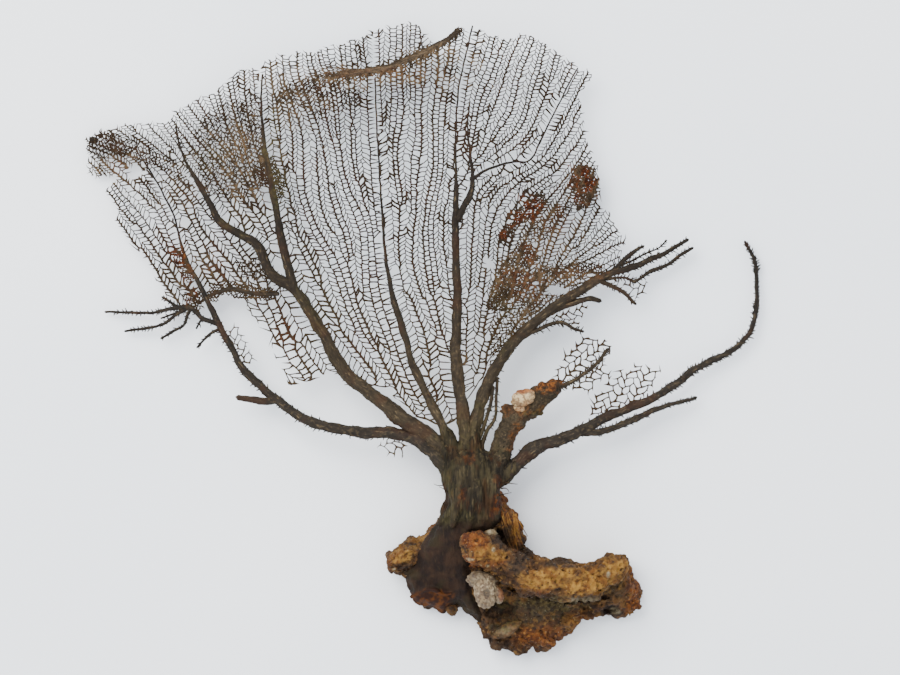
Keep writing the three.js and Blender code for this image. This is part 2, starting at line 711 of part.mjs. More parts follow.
function netOf(area, own) {
  const { junctions, near } = sheetGraph;
  const ends = junctions.map((place, id) => {
    const line = near[id].length ? limbUnder(place) : null;
    return line ? { place: onto(place, [line.a, line.b]), line, id } : { place, id };
  });
  const places = ends.map(({ place }) => place);
  const links = places.map(() => []);
  const reached = (end, other) => {
    const free = end.line && !own.includes(end.line.route);
    if (!free && end.id !== undefined) return end.id;
    const [[ex, ey], [ox, oy]] = [end.place, other.place];
    const length = Math.hypot(ox - ex, oy - ey);
    const back = free ? end.line.radius + 2.5 * gap : 0;
    places.push([ex + ((ox - ex) * back) / length, ey + ((oy - ey) * back) / length]);
    links.push([]);
    return places.length - 1;
  };
  near.forEach((list, i) => {
    for (const j of list.filter((k) => k > i && !(ends[i].line && ends[k].line))) {
      const cut = ends[i].line || ends[j].line ? null : crossing(ends[i].place, ends[j].place);
      const strands = cut ? [[ends[i], cut], [cut, ends[j]]] : [[ends[i], ends[j]]];
      for (const [one, other] of strands) {
        const [x, y] = [0, 1].map((k) => (one.place[k] + other.place[k]) / 2);
        if (!insidePolygon([x, fold(x, y).y], areas[area])) continue;
        const [a, b] = [reached(one, other), reached(other, one)];
        links[a].push(b);
        links[b].push(a);
      }
    }
  });
  const net = netSolid({ junctions: places, near: links });
  const others = new Set(limbLines.map(({ route }) => route).filter((route) => !own.includes(route)));
  return [...others].reduce((rest, route) => rest.subtract(clearance(route)), net);
}

const patchOf = (outline, direction, liftAt) =>
  netSolid(strandGraph(patchSeeds(outline, direction), outline, 0.42 * scrapScale * cellWidth), liftAt);
const flapLift = (u, v) => {
  const away = Math.min(...leftFork.slice(1).map((end, i) => segmentDistance([u, v], leftFork[i], end)));
  return -flapSag * smooth(0, flapSpread, away);
};

// Pieces in the order in which they claim the crowded fork: each keeps clear of those before it
const fan = new THREE.Group();
fan.name = 'sea_fan';
const claimed = [];

function addPiece(name, look, body) {
  const material = new THREE.MeshStandardMaterial({ metalness: 0, ...look, flatShading: true });
  const mesh = new THREE.Mesh(geometryOf(body), material);
  mesh.name = name;
  fan.add(mesh);
}

const grown = (route) => route.map(([x, y, r]) => [x, y, r + gap]);

function addLimb(name, routes, nets) {
  let body = joined([...routes.map(limb), ...nets]);
  for (const taken of claimed) body = body.subtract(taken);
  addPiece(name, horn, largestPiece(body));
  for (const route of routes) claimed.push(limb(grown(route)));
}

claimed.push(stemSolid(gap));
addPiece('stem_and_foot', horn, stemSolid(0));
addPiece('rock', rock, largestPiece(rockSolid()));
addLimb('centre_limb', [centreLimb, centreFork, centreBranch], [
  netOf('centre', [centreLimb, centreFork, centreBranch]),
  netOf('centreRight', [centreLimb, centreFork, centreBranch]),
]);
addLimb('big_left_limb', [bigLeftLimb, leftCrossBranch], [netOf('bigLeft', [bigLeftLimb])]);
addLimb('right_limb', [rightLimb, rightUpperTip, rightLowerTip, rightTwig, innerRib], [
  netOf('right', [rightLimb]),
]);
addLimb('inner_left_limb', [innerLeftLimb], [netOf('innerLeft', [innerLeftLimb])]);
addLimb('left_fork', [leftFork], [
  netOf('leftFork', [leftFork]),
  patchOf(flapOutline.map(unfold), 100, flapLift),
]);
addLimb('far_left_limb', [farLeftLimb, brokenStub, ...bareTwigs], [
  netOf('farLeft', [farLeftLimb]),
  ...spines(farLeftLimb, 9, 0.2, 0.75, 3.5),
]);
addLimb('lower_right_limb', [lowerRightLimb, lowerRightFork], [
  patchOf(lowerScrap, 62),
  ...spines(lowerRightLimb, 18, 0.32, 0.97, 4),
]);
addLimb('short_limb', [shortLimb, shortTwig], [patchOf(upperScrap, 40)]);

addPiece('ball_barnacle', shell, largestPiece(lump(ballBarnacle, smallFacets).subtract(stemSolid(stemGap))));
addPiece('pale_barnacle', shell, largestPiece(lump(paleBarnacle, smallFacets).subtract(limb(grown(shortLimb)))));

export default fan;
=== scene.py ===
# The looks of a dried sea fan and its lump of rock, lying on white paper and seen from above.
# Lengths in the lists are millimetres; the scene is in metres, +Z up.

import itertools
import math
import random
from collections import deque

import bmesh
import bpy
import numpy as np
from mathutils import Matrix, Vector
from mathutils.geometry import delaunay_2d_cdt


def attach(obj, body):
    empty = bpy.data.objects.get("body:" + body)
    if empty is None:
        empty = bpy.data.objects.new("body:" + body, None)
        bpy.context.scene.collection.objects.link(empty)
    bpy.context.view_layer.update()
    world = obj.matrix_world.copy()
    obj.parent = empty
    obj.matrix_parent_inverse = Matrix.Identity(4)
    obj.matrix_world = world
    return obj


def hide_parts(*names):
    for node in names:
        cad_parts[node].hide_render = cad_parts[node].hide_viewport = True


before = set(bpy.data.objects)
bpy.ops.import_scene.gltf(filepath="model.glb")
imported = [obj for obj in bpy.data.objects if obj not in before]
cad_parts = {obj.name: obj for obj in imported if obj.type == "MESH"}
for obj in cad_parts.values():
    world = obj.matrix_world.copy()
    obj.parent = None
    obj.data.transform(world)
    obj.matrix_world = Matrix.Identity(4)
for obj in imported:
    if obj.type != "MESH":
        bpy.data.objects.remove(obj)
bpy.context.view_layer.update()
print("stage: frame loaded")

mm = 0.001
seed = 7
chance = random.Random(seed)
dice = np.random.RandomState(seed)

# The shape of the fan: the limbs follow the solid model, apart from thinner ends and some small twigs

# Heights of the warped sheet at chosen places: x, y, z
sheetHeights = [
    (30, -95, 30), (27, -62, 31), (-25, 50, 34), (-25, 125, 38), (-62, 138, 35), (18, 160, 36),
    (22, 105, 36), (-75, 27, 27), (-125, 82, 21), (-150, 108, 13), (-200, 119, 4), (-182, 68, 7),
    (-112, 158, 13), (-107, -20, 15), (-36, -57, 26), (-145, 45, 13), (-185, 12, 4), (73, 14, 27),
    (150, 50, 13), (105, 95, 15), (95, 158, 15), (60, 176, 24), (64, -40, 34), (98, -12, 27),
    (70, -65, 26), (125, -42, 16), (188, -8, 8), (200, 50, 4),
]

# The fold near the upper margin, from left to right
foldRidge = [(-80, 146), (-57, 153), (-21, 158), (2, 168), (30, 185)]

# Outline of the main sheet, seen from above
sheetOutline = [
    (-203, 120), (-190, 126), (-178, 129), (-153, 131), (-144, 140), (-127, 147), (-110, 160),
    (-89, 168), (-68, 172), (-44, 179), (-28, 186), (-5, 191), (7, 176), (30, 185), (48, 178),
    (64, 182), (81, 171), (94, 161), (104, 158), (94, 145), (98, 122), (106, 102), (106, 81),
    (113, 74), (122, 58), (116, 40), (94, 27), (73, 13), (55, -3), (42, -23), (36, -40),
    (27, -58), (8, -52), (-10, -52), (-30, -34), (-52, -22), (-66, -24), (-80, -30), (-88, -10),
    (-100, 10), (-112, 30), (-126, 24), (-132, 14), (-148, 20), (-157, 28), (-164, 44),
    (-175, 56), (-185, 68), (-184, 80), (-193, 88), (-183, 97), (-203, 98),
]

# Limbs: points along the middle with the radius there: x, y, radius
farLeftLimb = [
    (22, -86, 5.0), (12, -75, 4.4), (-2, -62, 3.8), (-18, -57, 3.4), (-36, -57, 3.2), (-65, -51, 2.9),
    (-84, -40, 2.6), (-107, -20, 2.2), (-114, -8, 2.0), (-130, 23, 1.7), (-143, 49, 1.3), (-150, 74, 1.0),
    (-161, 95, 0.9), (-174, 115, 0.9),
]
bigLeftLimb = [
    (20, -80, 6.0), (10, -64, 5.2), (-6, -53, 4.8), (-25, -38, 4.3), (-46, -21, 3.9), (-60, 3, 3.5),
    (-75, 27, 3.2), (-90, 38, 2.9), (-100, 56, 2.6), (-120, 68, 2.2), (-128, 81, 1.9),
    (-140, 95, 1.4), (-158, 107, 1.0), (-176, 116, 0.9), (-202, 120, 0.9),
]
leftFork = [
    (-77, 29, 3.0), (-84, 57, 2.4), (-89, 85, 2.0), (-94, 112, 1.5), (-97, 140, 1.1), (-98, 165, 0.9),
]
innerLeftLimb = [
    (19, -66, 3.2), (6, -41, 2.7), (-6, -15, 2.3), (-10, 0, 2.0), (-19, 30, 1.6), (-23, 60, 1.2),
    (-25, 92, 1.0), (-27, 125, 0.9), (-28, 154, 0.9), (-30, 188, 0.9),
]
centreLimb = [
    (26, -84, 5.5), (26, -60, 4.2), (23, -37, 3.8), (20, -9, 3.3), (21, 26, 2.6), (20, 49, 2.3),
    (20, 76, 1.9), (20, 99, 1.2), (20, 122, 1.0), (22, 150, 0.9), (30, 186, 0.9),
]
centreFork = [(21, 70, 2.0), (28, 84, 1.7), (30, 97, 1.4), (27, 122, 1.0), (28, 140, 0.9)]
centreBranch = [
    (29, 94, 1.5), (39, 100, 1.2), (54, 105, 1.1), (64, 106, 1.0), (70, 116, 1.0), (82, 141, 0.9),
    (93, 162, 0.9),
]
innerRib = [(48, 20, 0.8), (51, 45, 0.8), (55, 70, 0.75), (60, 99, 0.6)]
rightLimb = [
    (31, -76, 4.6), (31, -55, 3.8), (36, -35, 3.6), (44, -18, 3.4), (55, -2, 3.2), (73, 14, 3.0),
    (94, 28, 2.7), (112, 38, 2.4), (125, 42, 2.0), (144, 50, 1.5), (160, 59, 1.0),
]
rightUpperTip = [(114, 40, 1.6), (125, 50, 1.2), (133, 55, 0.9)]
rightLowerTip = [(127.5, 33, 0.9), (137.5, 39.7, 1.2), (147, 43.4, 1.2), (155, 49, 1.1), (163, 54, 0.9)]
rightLink = [(110, 34.5, 1.0), (116, 35.6, 0.8), (121.7, 36, 0.7), (128, 33, 0.8)]
rightStrand = [(116, 41.5, 0.7), (126, 46.5, 0.6), (134.7, 50.7, 0.6), (142.5, 54.3, 0.5), (147, 58.6, 0.5)]
rightTwig = [(106, 34, 1.4), (119, 28, 1.2), (128, 20, 0.9)]
shortLimb = [
    (44, -78, 5.4), (49, -60, 5.6), (55, -48, 5.8), (64, -40, 6.0), (73, -34, 5.6), (80, -29, 4.2),
]
shortTwig = [(76, -31, 1.6), (88, -27, 1.3), (102, -18, 1.1), (111, -7, 0.9)]
lowerRightLimb = [
    (42, -86, 5.2), (50, -81, 4.6), (58, -74, 4.2), (70, -65, 3.9), (85, -60, 3.6), (100, -53, 3.2),
    (114, -46, 2.8), (135, -38, 2.4), (152, -28, 2.1), (166, -18, 1.9), (186, -8, 1.6), (197, 2, 1.4),
    (201, 14, 1.3), (202, 32, 1.2), (201, 46, 1.1), (195, 58, 0.9),
]
lowerRightFork = [(94, -57, 2.4), (110, -56, 2.0), (127, -49, 1.7), (144, -42, 1.4), (165, -36, 1.0)]
bareTwigs = [
    [(-120, 6, 1.3), (-126, 9, 1.3), (-133, 12, 1.3), (-141, 18, 1.5), (-150, 17.5, 1.2), (-167, 15, 1.0),
        (-192, 15.5, 0.8)],
    [(-140, 19, 1.2), (-146, 15.5, 1.0), (-158, 7.5, 0.9), (-180, 4, 0.8)],
    [(-144, 16, 0.8), (-150, 14, 0.7), (-158, 11.5, 0.6)],
    [(-140, 17, 1.1), (-142, 12.5, 0.9), (-144, 7.5, 0.8), (-150, 4, 0.8), (-158, -0.5, 0.7)],
    [(-142, 19, 1.0), (-148, 19, 0.9), (-157, 24.5, 0.7)],
    [(-132, 12, 0.8), (-134, 9.5, 0.7), (-136, 5.5, 0.6)],
    [(-121, 6, 0.9), (-128, 2, 0.8), (-136, -6, 0.6)],
]
# The courses that show at the upper ends of two limbs, where they turn into ribs of the net
bigLeftEnd = [(-128, 81, 1.9), (-135, 93, 1.6), (-141, 103, 1.3), (-146, 115, 1.1), (-149, 127, 0.9)]
leftForkEnd = (-96, 158, 0.9)
brokenStub = [(-86, -38, 2.1), (-98, -38, 2.0), (-111, -36, 1.7)]
leftCrossBranch = [(-86, 26, 1.4), (-101, 26.5, 1.3), (-110, 28.5, 1.5), (-118, 29, 1.4), (-129, 25, 1.2)]
lobeGuide = [(-112, -12, 0), (-136, 20, 0), (-162, 52, 0), (-190, 88, 0)]
flapOutline = [
    (-97, 147), (-94, 112), (-89, 92), (-98, 90), (-110, 84), (-126, 84), (-135, 96), (-140, 114),
    (-135, 132), (-122, 142),
]
upperScrap = [
    (77, -31), (82, -17), (88, -8), (95, -1), (106, 1), (115, -5), (108, -17), (113, -25), (100, -32),
    (88, -32),
]
lowerScrap = [
    (100, -53), (101, -38), (109, -28), (117, -20), (130, -16), (143, -20), (139, -29), (131, -38),
    (118, -46),
]

# The stem and its spreading foot: x, y, z, half width, half height
stem = [
    (25, -67, 31, 9, 4), (26, -72, 31, 14.5, 7), (28, -80, 31, 17, 9), (30, -95, 30, 16.4, 10.5),
    (29, -107, 30, 18.5, 11.5), (24, -120, 30, 24, 10), (18, -134, 29, 24, 8), (14, -148, 26, 21, 6),
    (12, -160, 21, 14, 4.5), (11, -167, 17, 6, 3),
]

sheetSettings = {
    "reach": 28,  # how far each height is felt
    "foldWall": 22,  # length of net that hangs down behind the fold
    "foldAngle": 76,  # of that wall, in degrees
    "skirtAngle": 14,  # of the net beyond it
    "foldLeft": (-104, -34),
    "foldRight": (14, 42),
    "flapSag": 8,
    "flapSpread": 22,
}


# Arithmetic
def smooth(low, high, value):
    t = np.clip((value - low) / (high - low), 0, 1)
    return t * t * (3 - 2 * t)


def unit(vectors):
    return vectors / np.maximum(np.linalg.norm(vectors, axis=-1, keepdims=True), 1e-9)


shuffled = dice.permutation(256)
slopes = unit(dice.normal(size=(256, 3)))
scattered = dice.rand(256, 3)


def hashed(place):
    x, y, z = place.T
    return shuffled[(shuffled[(shuffled[x & 255] + y) & 255] + z) & 255]


# Gradient noise, about -1 to 1
def grain(points):
    base = np.floor(points).astype(int)
    part = points - base
    ease = part**3 * (part * (part * 6 - 15) + 10)
    total = np.zeros(len(points))
    for corner in itertools.product((0, 1), repeat=3):
        slope = slopes[hashed(base + corner)]
        weight = np.prod(np.where(np.array(corner) == 1, ease, 1 - ease), axis=1)
        total += weight * ((part - corner) * slope).sum(1)
    return total * 1.6


def octaves(points, size, count):
    return sum(grain(points * (2**k / size) + 17 * k) / 2**k for k in range(count))


# Distance to the nearest of scattered points, as a share of their spacing
def pocked(points, size):
    points = points / size
    base = np.floor(points).astype(int)
    best = np.full(len(points), 9.0)
    for corner in itertools.product((-1, 0, 1), repeat=3):
        home = base + corner
        best = np.minimum(best, np.linalg.norm(home + scattered[hashed(home)] - points, axis=1))
    return best


def blended(controls, x, y, reach):
    total = 0
    weights = 0
    for px, py, value in controls:
        weight = np.exp(-((x - px) ** 2 + (y - py) ** 2) / (2 * reach**2)) + 1e-9
        total = total + weight * value
        weights = weights + weight
    return total / weights


# The warped and folded sheet
ridgeX, ridgeY = np.array(foldRidge).T


# Where the flat net's coordinate u, v lies in plan, and how far the fold has let it fall
def fold(u, v):
    past = np.maximum(v - np.interp(u, ridgeX, ridgeY), 0)
    strength = smooth(*sheetSettings["foldLeft"], u) * (1 - smooth(*sheetSettings["foldRight"], u))
    wall = np.radians(sheetSettings["foldAngle"]) * strength
    skirt = np.radians(sheetSettings["skirtAngle"]) * strength
    steep = np.minimum(past, sheetSettings["foldWall"])
    rest = past - steep
    advance = steep * np.cos(wall) + rest * np.cos(skirt)
    return v - past + advance, steep * np.sin(wall) + rest * np.sin(skirt)


def unfold(places):
    places = np.asarray(places, float)
    x, y = places[:, 0], places[:, 1]
    low = y.copy()
    high = y + 2 * sheetSettings["foldWall"]
    for _ in range(30):
        middle = (low + high) / 2
        under = fold(x, middle)[0] < y
        low = np.where(under, middle, low)
        high = np.where(under, high, middle)
    return np.column_stack([x, (low + high) / 2])


def sheetPoint(flat):
    u, v = flat[:, 0], flat[:, 1]
    y, drop = fold(u, v)
    ripple = sheetRipple * octaves(np.column_stack([u, v, 0 * u]), 26, 2)
    ripple = ripple * smooth(-70, 20, y)
    return np.column_stack([u, y, blended(sheetHeights, u, y, sheetSettings["reach"]) - drop + ripple])


def sheetNormal(flat):
    step = 0.8
    across = sheetPoint(flat + (step, 0)) - sheetPoint(flat - (step, 0))
    along = sheetPoint(flat + (0, step)) - sheetPoint(flat - (0, step))
    return unit(np.cross(across, along))


# Stains: x, y, half width, half height, strength
stains = {
    "rust": [
        (50, 61, 6, 6, 1), (66, 78, 9, 9, 1), (57, 70, 7, 7, 0.9), (97, 91, 9, 14, 1), (62, 50, 8, 7, 0.5),
        (80, 72, 10, 9, 0.4), (-148, 49, 6, 7, 0.9), (-141, 37, 5, 7, 0.5), (-138, 24, 6, 6, 0.7),
        (-125, 38, 9, 7, 0.5), (-81, 3, 8, 7, 0.5), (60, 33, 16, 12, 0.5), (94, 38, 20, 6, 0.25),
            (-182, 103, 7, 4, 0.5),
        (-27, 157, 50, 5, 0.3), (-60, 148, 14, 6, 0.25),
    ],
    "dust": [
        (-106, 108, 24, 26, 0.9), (60, 36, 22, 16, 0.95), (92, 33, 26, 8, 1), (-28, 156, 66, 9, 1),
        (12, 168, 28, 9, 1), (-180, 102, 22, 12, 0.7), (-77, 140, 24, 16, 0.6), (98, 93, 12, 16, 0.8),
        (74, 62, 26, 22, 0.7), (-150, 90, 30, 14, 0.35), (24, -15, 4, 10, 0.8), (-88, 152, 24, 12, 0.5),
        (62, 12, 12, 12, 0.6), (-135, 38, 16, 16, 0.5), (-100, 30, 14, 8, 0.4),
    ],
    "moss": [
        (-90, 118, 5, 26, 1), (-85, 92, 5, 14, 1), (-130, 108, 12, 10, 0.4), (10, 120, 8, 40, 0.2),
        (-60, 20, 20, 30, 0.3), (26, -60, 18, 26, 0.4), (-105, 70, 18, 10, 0.4), (48, 12, 10, 18, 0.4),
    ],
}


def stainAt(points, kind):
    x, y = points[:, 0], points[:, 1]
    ragged = 0.75 * octaves(points, 9, 3)
    total = np.zeros(len(points))
    for cx, cy, rx, ry, strength in stains[kind]:
        away = np.sqrt(((x - cx) / rx) ** 2 + ((y - cy) / ry) ** 2) + ragged
        total = np.maximum(total, strength * (1 - smooth(0.45, 1.15, away)))
    return total


# Meshes
def stained(obj, points):
    values = np.column_stack([stainAt(points, kind) for kind in ("rust", "dust", "moss")])
    layer = obj.data.attributes.new("stain", "FLOAT_VECTOR", "POINT")
    layer.data.foreach_set("vector", values.ravel())


def meshObject(name, points, faces, material):
    mesh = bpy.data.meshes.new(name)
    mesh.from_pydata((np.asarray(points) * mm).tolist(), [], faces)
    mesh.validate()
    mesh.materials.append(material)
    mesh.shade_smooth()
    obj = bpy.data.objects.new(name, mesh)
    bpy.context.scene.collection.objects.link(obj)
    return obj


# Several lists of points and faces as one
def together(bodies):
    points = []
    faces = []
    count = 0
    for body in bodies:
        points.append(np.asarray(body[0], float).reshape(-1, 3))
        faces += [tuple(i + count for i in face) for face in body[1]]
        count += len(points[-1])
    return np.vstack(points), faces


# Outward direction at each point of a closed surface
def outward(points, faces):
    quads = np.array([face if len(face) == 4 else (*face, face[2]) for face in faces])
    a, b, c, d = (points[quads[:, k]] for k in range(4))
    flat = np.cross(c - a, d - b)
    total = np.zeros_like(points)
    for k in range(4):
        np.add.at(total, quads[:, k], flat)
    return unit(total)


# One skin around overlapping closed bodies, from cubes of the given size
def remeshed(points, faces, voxel):
    mesh = bpy.data.meshes.new("skin")
    mesh.from_pydata((points * mm).tolist(), [], faces)
    obj = bpy.data.objects.new("skin", mesh)
    bpy.context.scene.collection.objects.link(obj)
    modifier = obj.modifiers.new("skin", "REMESH")
    modifier.mode = "VOXEL"
    modifier.voxel_size = voxel * mm
    evaluated = obj.evaluated_get(bpy.context.evaluated_depsgraph_get()).to_mesh()
    made = np.empty(len(evaluated.vertices) * 3)
    evaluated.vertices.foreach_get("co", made)
    skin = [tuple(face.vertices) for face in evaluated.polygons]
    bpy.data.objects.remove(obj)
    bpy.data.meshes.remove(mesh)
    return biggestPart(made.reshape(-1, 3) / mm, skin)


# The largest connected part of a mesh
def biggestPart(points, faces):
    corners = np.array([face + (face[0],) if len(face) == 3 else face for face in faces])
    label = np.arange(len(points))
    while True:
        lower = label.copy()
        np.minimum.at(lower, corners, label[corners].min(axis=1)[:, None])
        lower = lower[lower]
        if (lower == label).all():
            break
        label = lower
    kept = label == np.bincount(label).argmax()
    places = np.cumsum(kept) - 1
    return points[kept], [tuple(places[k] for k in face) for face in faces if kept[face[0]]]


def relaxed(points, faces, rounds):
    edges = {tuple(sorted((f[k], f[(k + 1) % len(f)]))) for f in faces for k in range(len(f))}
    a, b = np.array(list(edges)).T
    count = np.bincount(np.concatenate([a, b]), minlength=len(points))[:, None]
    for _ in range(rounds):
        total = np.zeros_like(points)
        np.add.at(total, a, points[b])
        np.add.at(total, b, points[a])
        points = points + 0.5 * (total / np.maximum(count, 1) - points)
    return points


# Tubes
def spline(rows, spacing):
    rows = np.asarray(rows, float)
    ends = np.vstack([2 * rows[0] - rows[1], rows, 2 * rows[-1] - rows[-2]])
    made = []
    for i in range(1, len(ends) - 2):
        p0, p1, p2, p3 = ends[i - 1], ends[i], ends[i + 1], ends[i + 2]
        count = max(1, round(float(np.linalg.norm((p2 - p1)[:2])) / spacing))
        for t in np.arange(count) / count:
            made.append(
                0.5 * (2 * p1 + (p2 - p0) * t + (2 * p0 - 5 * p1 + 4 * p2 - p3) * t**2
                       + (3 * p1 - p0 - 3 * p2 + p3) * t**3)
            )
    return np.array([*made, rows[-1]])


# A closed tube; shape(angle, length) multiplies its radius
def tube(points, radii, sides, shape=None, flat=1):
    points = np.asarray(points, float)
    radii = np.asarray(radii, float)
    along = unit(np.gradient(points, axis=0))
    up = np.array([0, 0, 1.0]) if abs(along[:, 2]).max() < 0.95 else np.array([1.0, 0, 0])
    side = unit(np.cross(along, up))
    top = np.cross(side, along)
    length = np.concatenate([[0], np.cumsum(np.linalg.norm(np.diff(points, axis=0), axis=1))])
    angles = np.arange(sides) * 2 * math.pi / sides
    angle, reach = np.meshgrid(angles, length)
    radius = np.repeat(radii[:, None], sides, axis=1)
    if shape is not None:
        radius = radius * shape(angle.ravel(), reach.ravel()).reshape(radius.shape)
    skin = (
        points[:, None, :]
        + (radius * np.cos(angle))[:, :, None] * side[:, None, :]
        + (radius * flat * np.sin(angle))[:, :, None] * top[:, None, :]
    )
    last = len(points) - 1
    made = np.vstack([skin.reshape(-1, 3), points[0] - along[0] * radii[0] * 0.5,
        points[-1] + along[-1] * radii[-1]])
    faces = []
    for i in range(last):
        for k in range(sides):
            n = (k + 1) % sides
            faces.append((i * sides + k, i * sides + n, (i + 1) * sides + n, (i + 1) * sides + k))
    foot, tip = len(made) - 2, len(made) - 1
    for k in range(sides):
        n = (k + 1) % sides
        faces.append((foot, n, k))
        faces.append((tip, last * sides + k, last * sides + n))
    return made, [tuple(reversed(face)) for face in faces]


# The growth of the net
def segmentsOf(route):
    flat = unfold(np.array(route)[:, :2])
    radii = np.array(route)[:, 2]
    return [(*flat[i], *flat[i + 1], (radii[i] + radii[i + 1]) / 2) for i in range(len(flat) - 1)]


guides = [farLeftLimb, lobeGuide, bigLeftLimb, leftFork, innerLeftLimb, centreLimb, centreBranch, rightLimb]
guideRows = np.array([row for route in guides for row in segmentsOf(route)])
limbRows = np.array([row for route in (*guides,
    centreFork) if route is not lobeGuide for row in segmentsOf(route)])

netSettings = {
    "cellWidth": 3.2,
    "cellLength": 2.75,
    "step": 0.8,
    "strongHalf": 0.58,
    "weakHalf": 0.32,
    "chevron": 2.2,  # how far the weak ribs' junctions sit up the net
    "waver": 0.22,  # of the growth direction, in radians
    "jitter": 0.13,
    "veins": 260,
    "reach": 24,
}
sheetRipple = 0.9

# Size of the net's cells at chosen places: x, y, share of the ordinary size
cellSizes = [
    (0, 80, 1.0), (-60, 100, 0.95), (60, 120, 0.92), (-28, 175, 0.9), (60, 165, 0.85), (-110, 130, 0.9),
    (-150, 110, 0.8), (-185, 110, 0.75), (-165, 80, 0.9), (-150, 50, 1.25), (-110, 45, 1.35),
    (-95, 10, 1.6), (-70, -10, 1.7), (-45, -32, 1.5), (-20, -40, 1.45), (5, -40, 1.35), (10, 0, 1.1),
    (-30, 0, 1.1), (-50, 50, 1.0), (40, -10, 1.4), (55, 25, 1.0), (60, 60, 0.9), (100, 60, 0.85),
    (100, 35, 0.85), (80, 100, 0.9), (-20, 50, 1.0), (35, 60, 0.95),
]


def awayFromRows(place, rows):
    ax, ay, bx, by = rows.T[:4]
    dx, dy = bx - ax, by - ay
    t = np.clip(((place[0] - ax) * dx + (place[1] - ay) * dy) / (dx * dx + dy * dy), 0, 1)
    return np.hypot(place[0] - ax - t * dx, place[1] - ay - t * dy)


guideLengths = np.hypot(guideRows[:, 2] - guideRows[:, 0], guideRows[:, 3] - guideRows[:, 1])
guideWays = (guideRows[:, 2:4] - guideRows[:, :2]) / guideLengths[:, None]


# Growth direction at a place, and how far it is from the skin of the nearest guide
def growth(place):
    away = awayFromRows(place, guideRows)
    way = (guideWays / (away**2 + 30)[:, None]).sum(0)
    way /= math.hypot(*way)
    x, y = place
    clear = float(smooth(2, 14, away.min()))
    swing = (
        math.sin(x / 11 + 1.7 * math.sin(y / 19)) + 0.8 * math.sin(y / 13 - x / 23)
        + 0.6 * math.sin(x / 5.3 + y / 9)
    )
    turn = netSettings["waver"] * clear * swing / 2
    c, s = math.cos(turn), math.sin(turn)
    return c * way[0] - s * way[1], s * way[0] + c * way[1], float((away - 0.8 * guideRows[:, 4]).min())


def inside(points, polygon):
    x, y = points[:, 0], points[:, 1]
    found = np.zeros(len(points), bool)
    corners = np.asarray(polygon, float)
    for (ax, ay), (bx, by) in zip(corners, np.roll(corners, -1, axis=0)):
        if ay != by:
            found ^= ((ay > y) != (by > y)) & (x < (bx - ax) * (y - ay) / (by - ay) + ax)
    return found


def outsideBy(points, polygon):
    corners = np.asarray(polygon, float)
    best = np.full(len(points), 1e9)
    for a, b in zip(corners, np.roll(corners, -1, axis=0)):
        way = b - a
        t = np.clip(((points - a) @ way) / (way @ way), 0, 1)
        best = np.minimum(best, np.linalg.norm(points - a - t[:, None] * way, axis=1))
    return np.where(inside(points, polygon), -best, best)


# A coarse map of the outline, to look up quickly whether a place is near the sheet
class Reach:
    def __init__(self, outline, margin, pitch=2.0):
        corners = np.array(outline)
        self.low = corners.min(0) - 20
        self.pitch = pitch
        high = corners.max(0) + 20
        xs = np.arange(self.low[0], high[0], pitch)
        ys = np.arange(self.low[1], high[1], pitch)
        grid = np.array(np.meshgrid(xs, ys, indexing="ij")).reshape(2, -1).T
        self.near = (outsideBy(grid, outline) < margin).reshape(len(xs), len(ys))

    def has(self, x, y):
        i = round((x - self.low[0]) / self.pitch)
        j = round((y - self.low[1]) / self.pitch)
        return 0 <= i < self.near.shape[0] and 0 <= j < self.near.shape[1] and self.near[i, j]


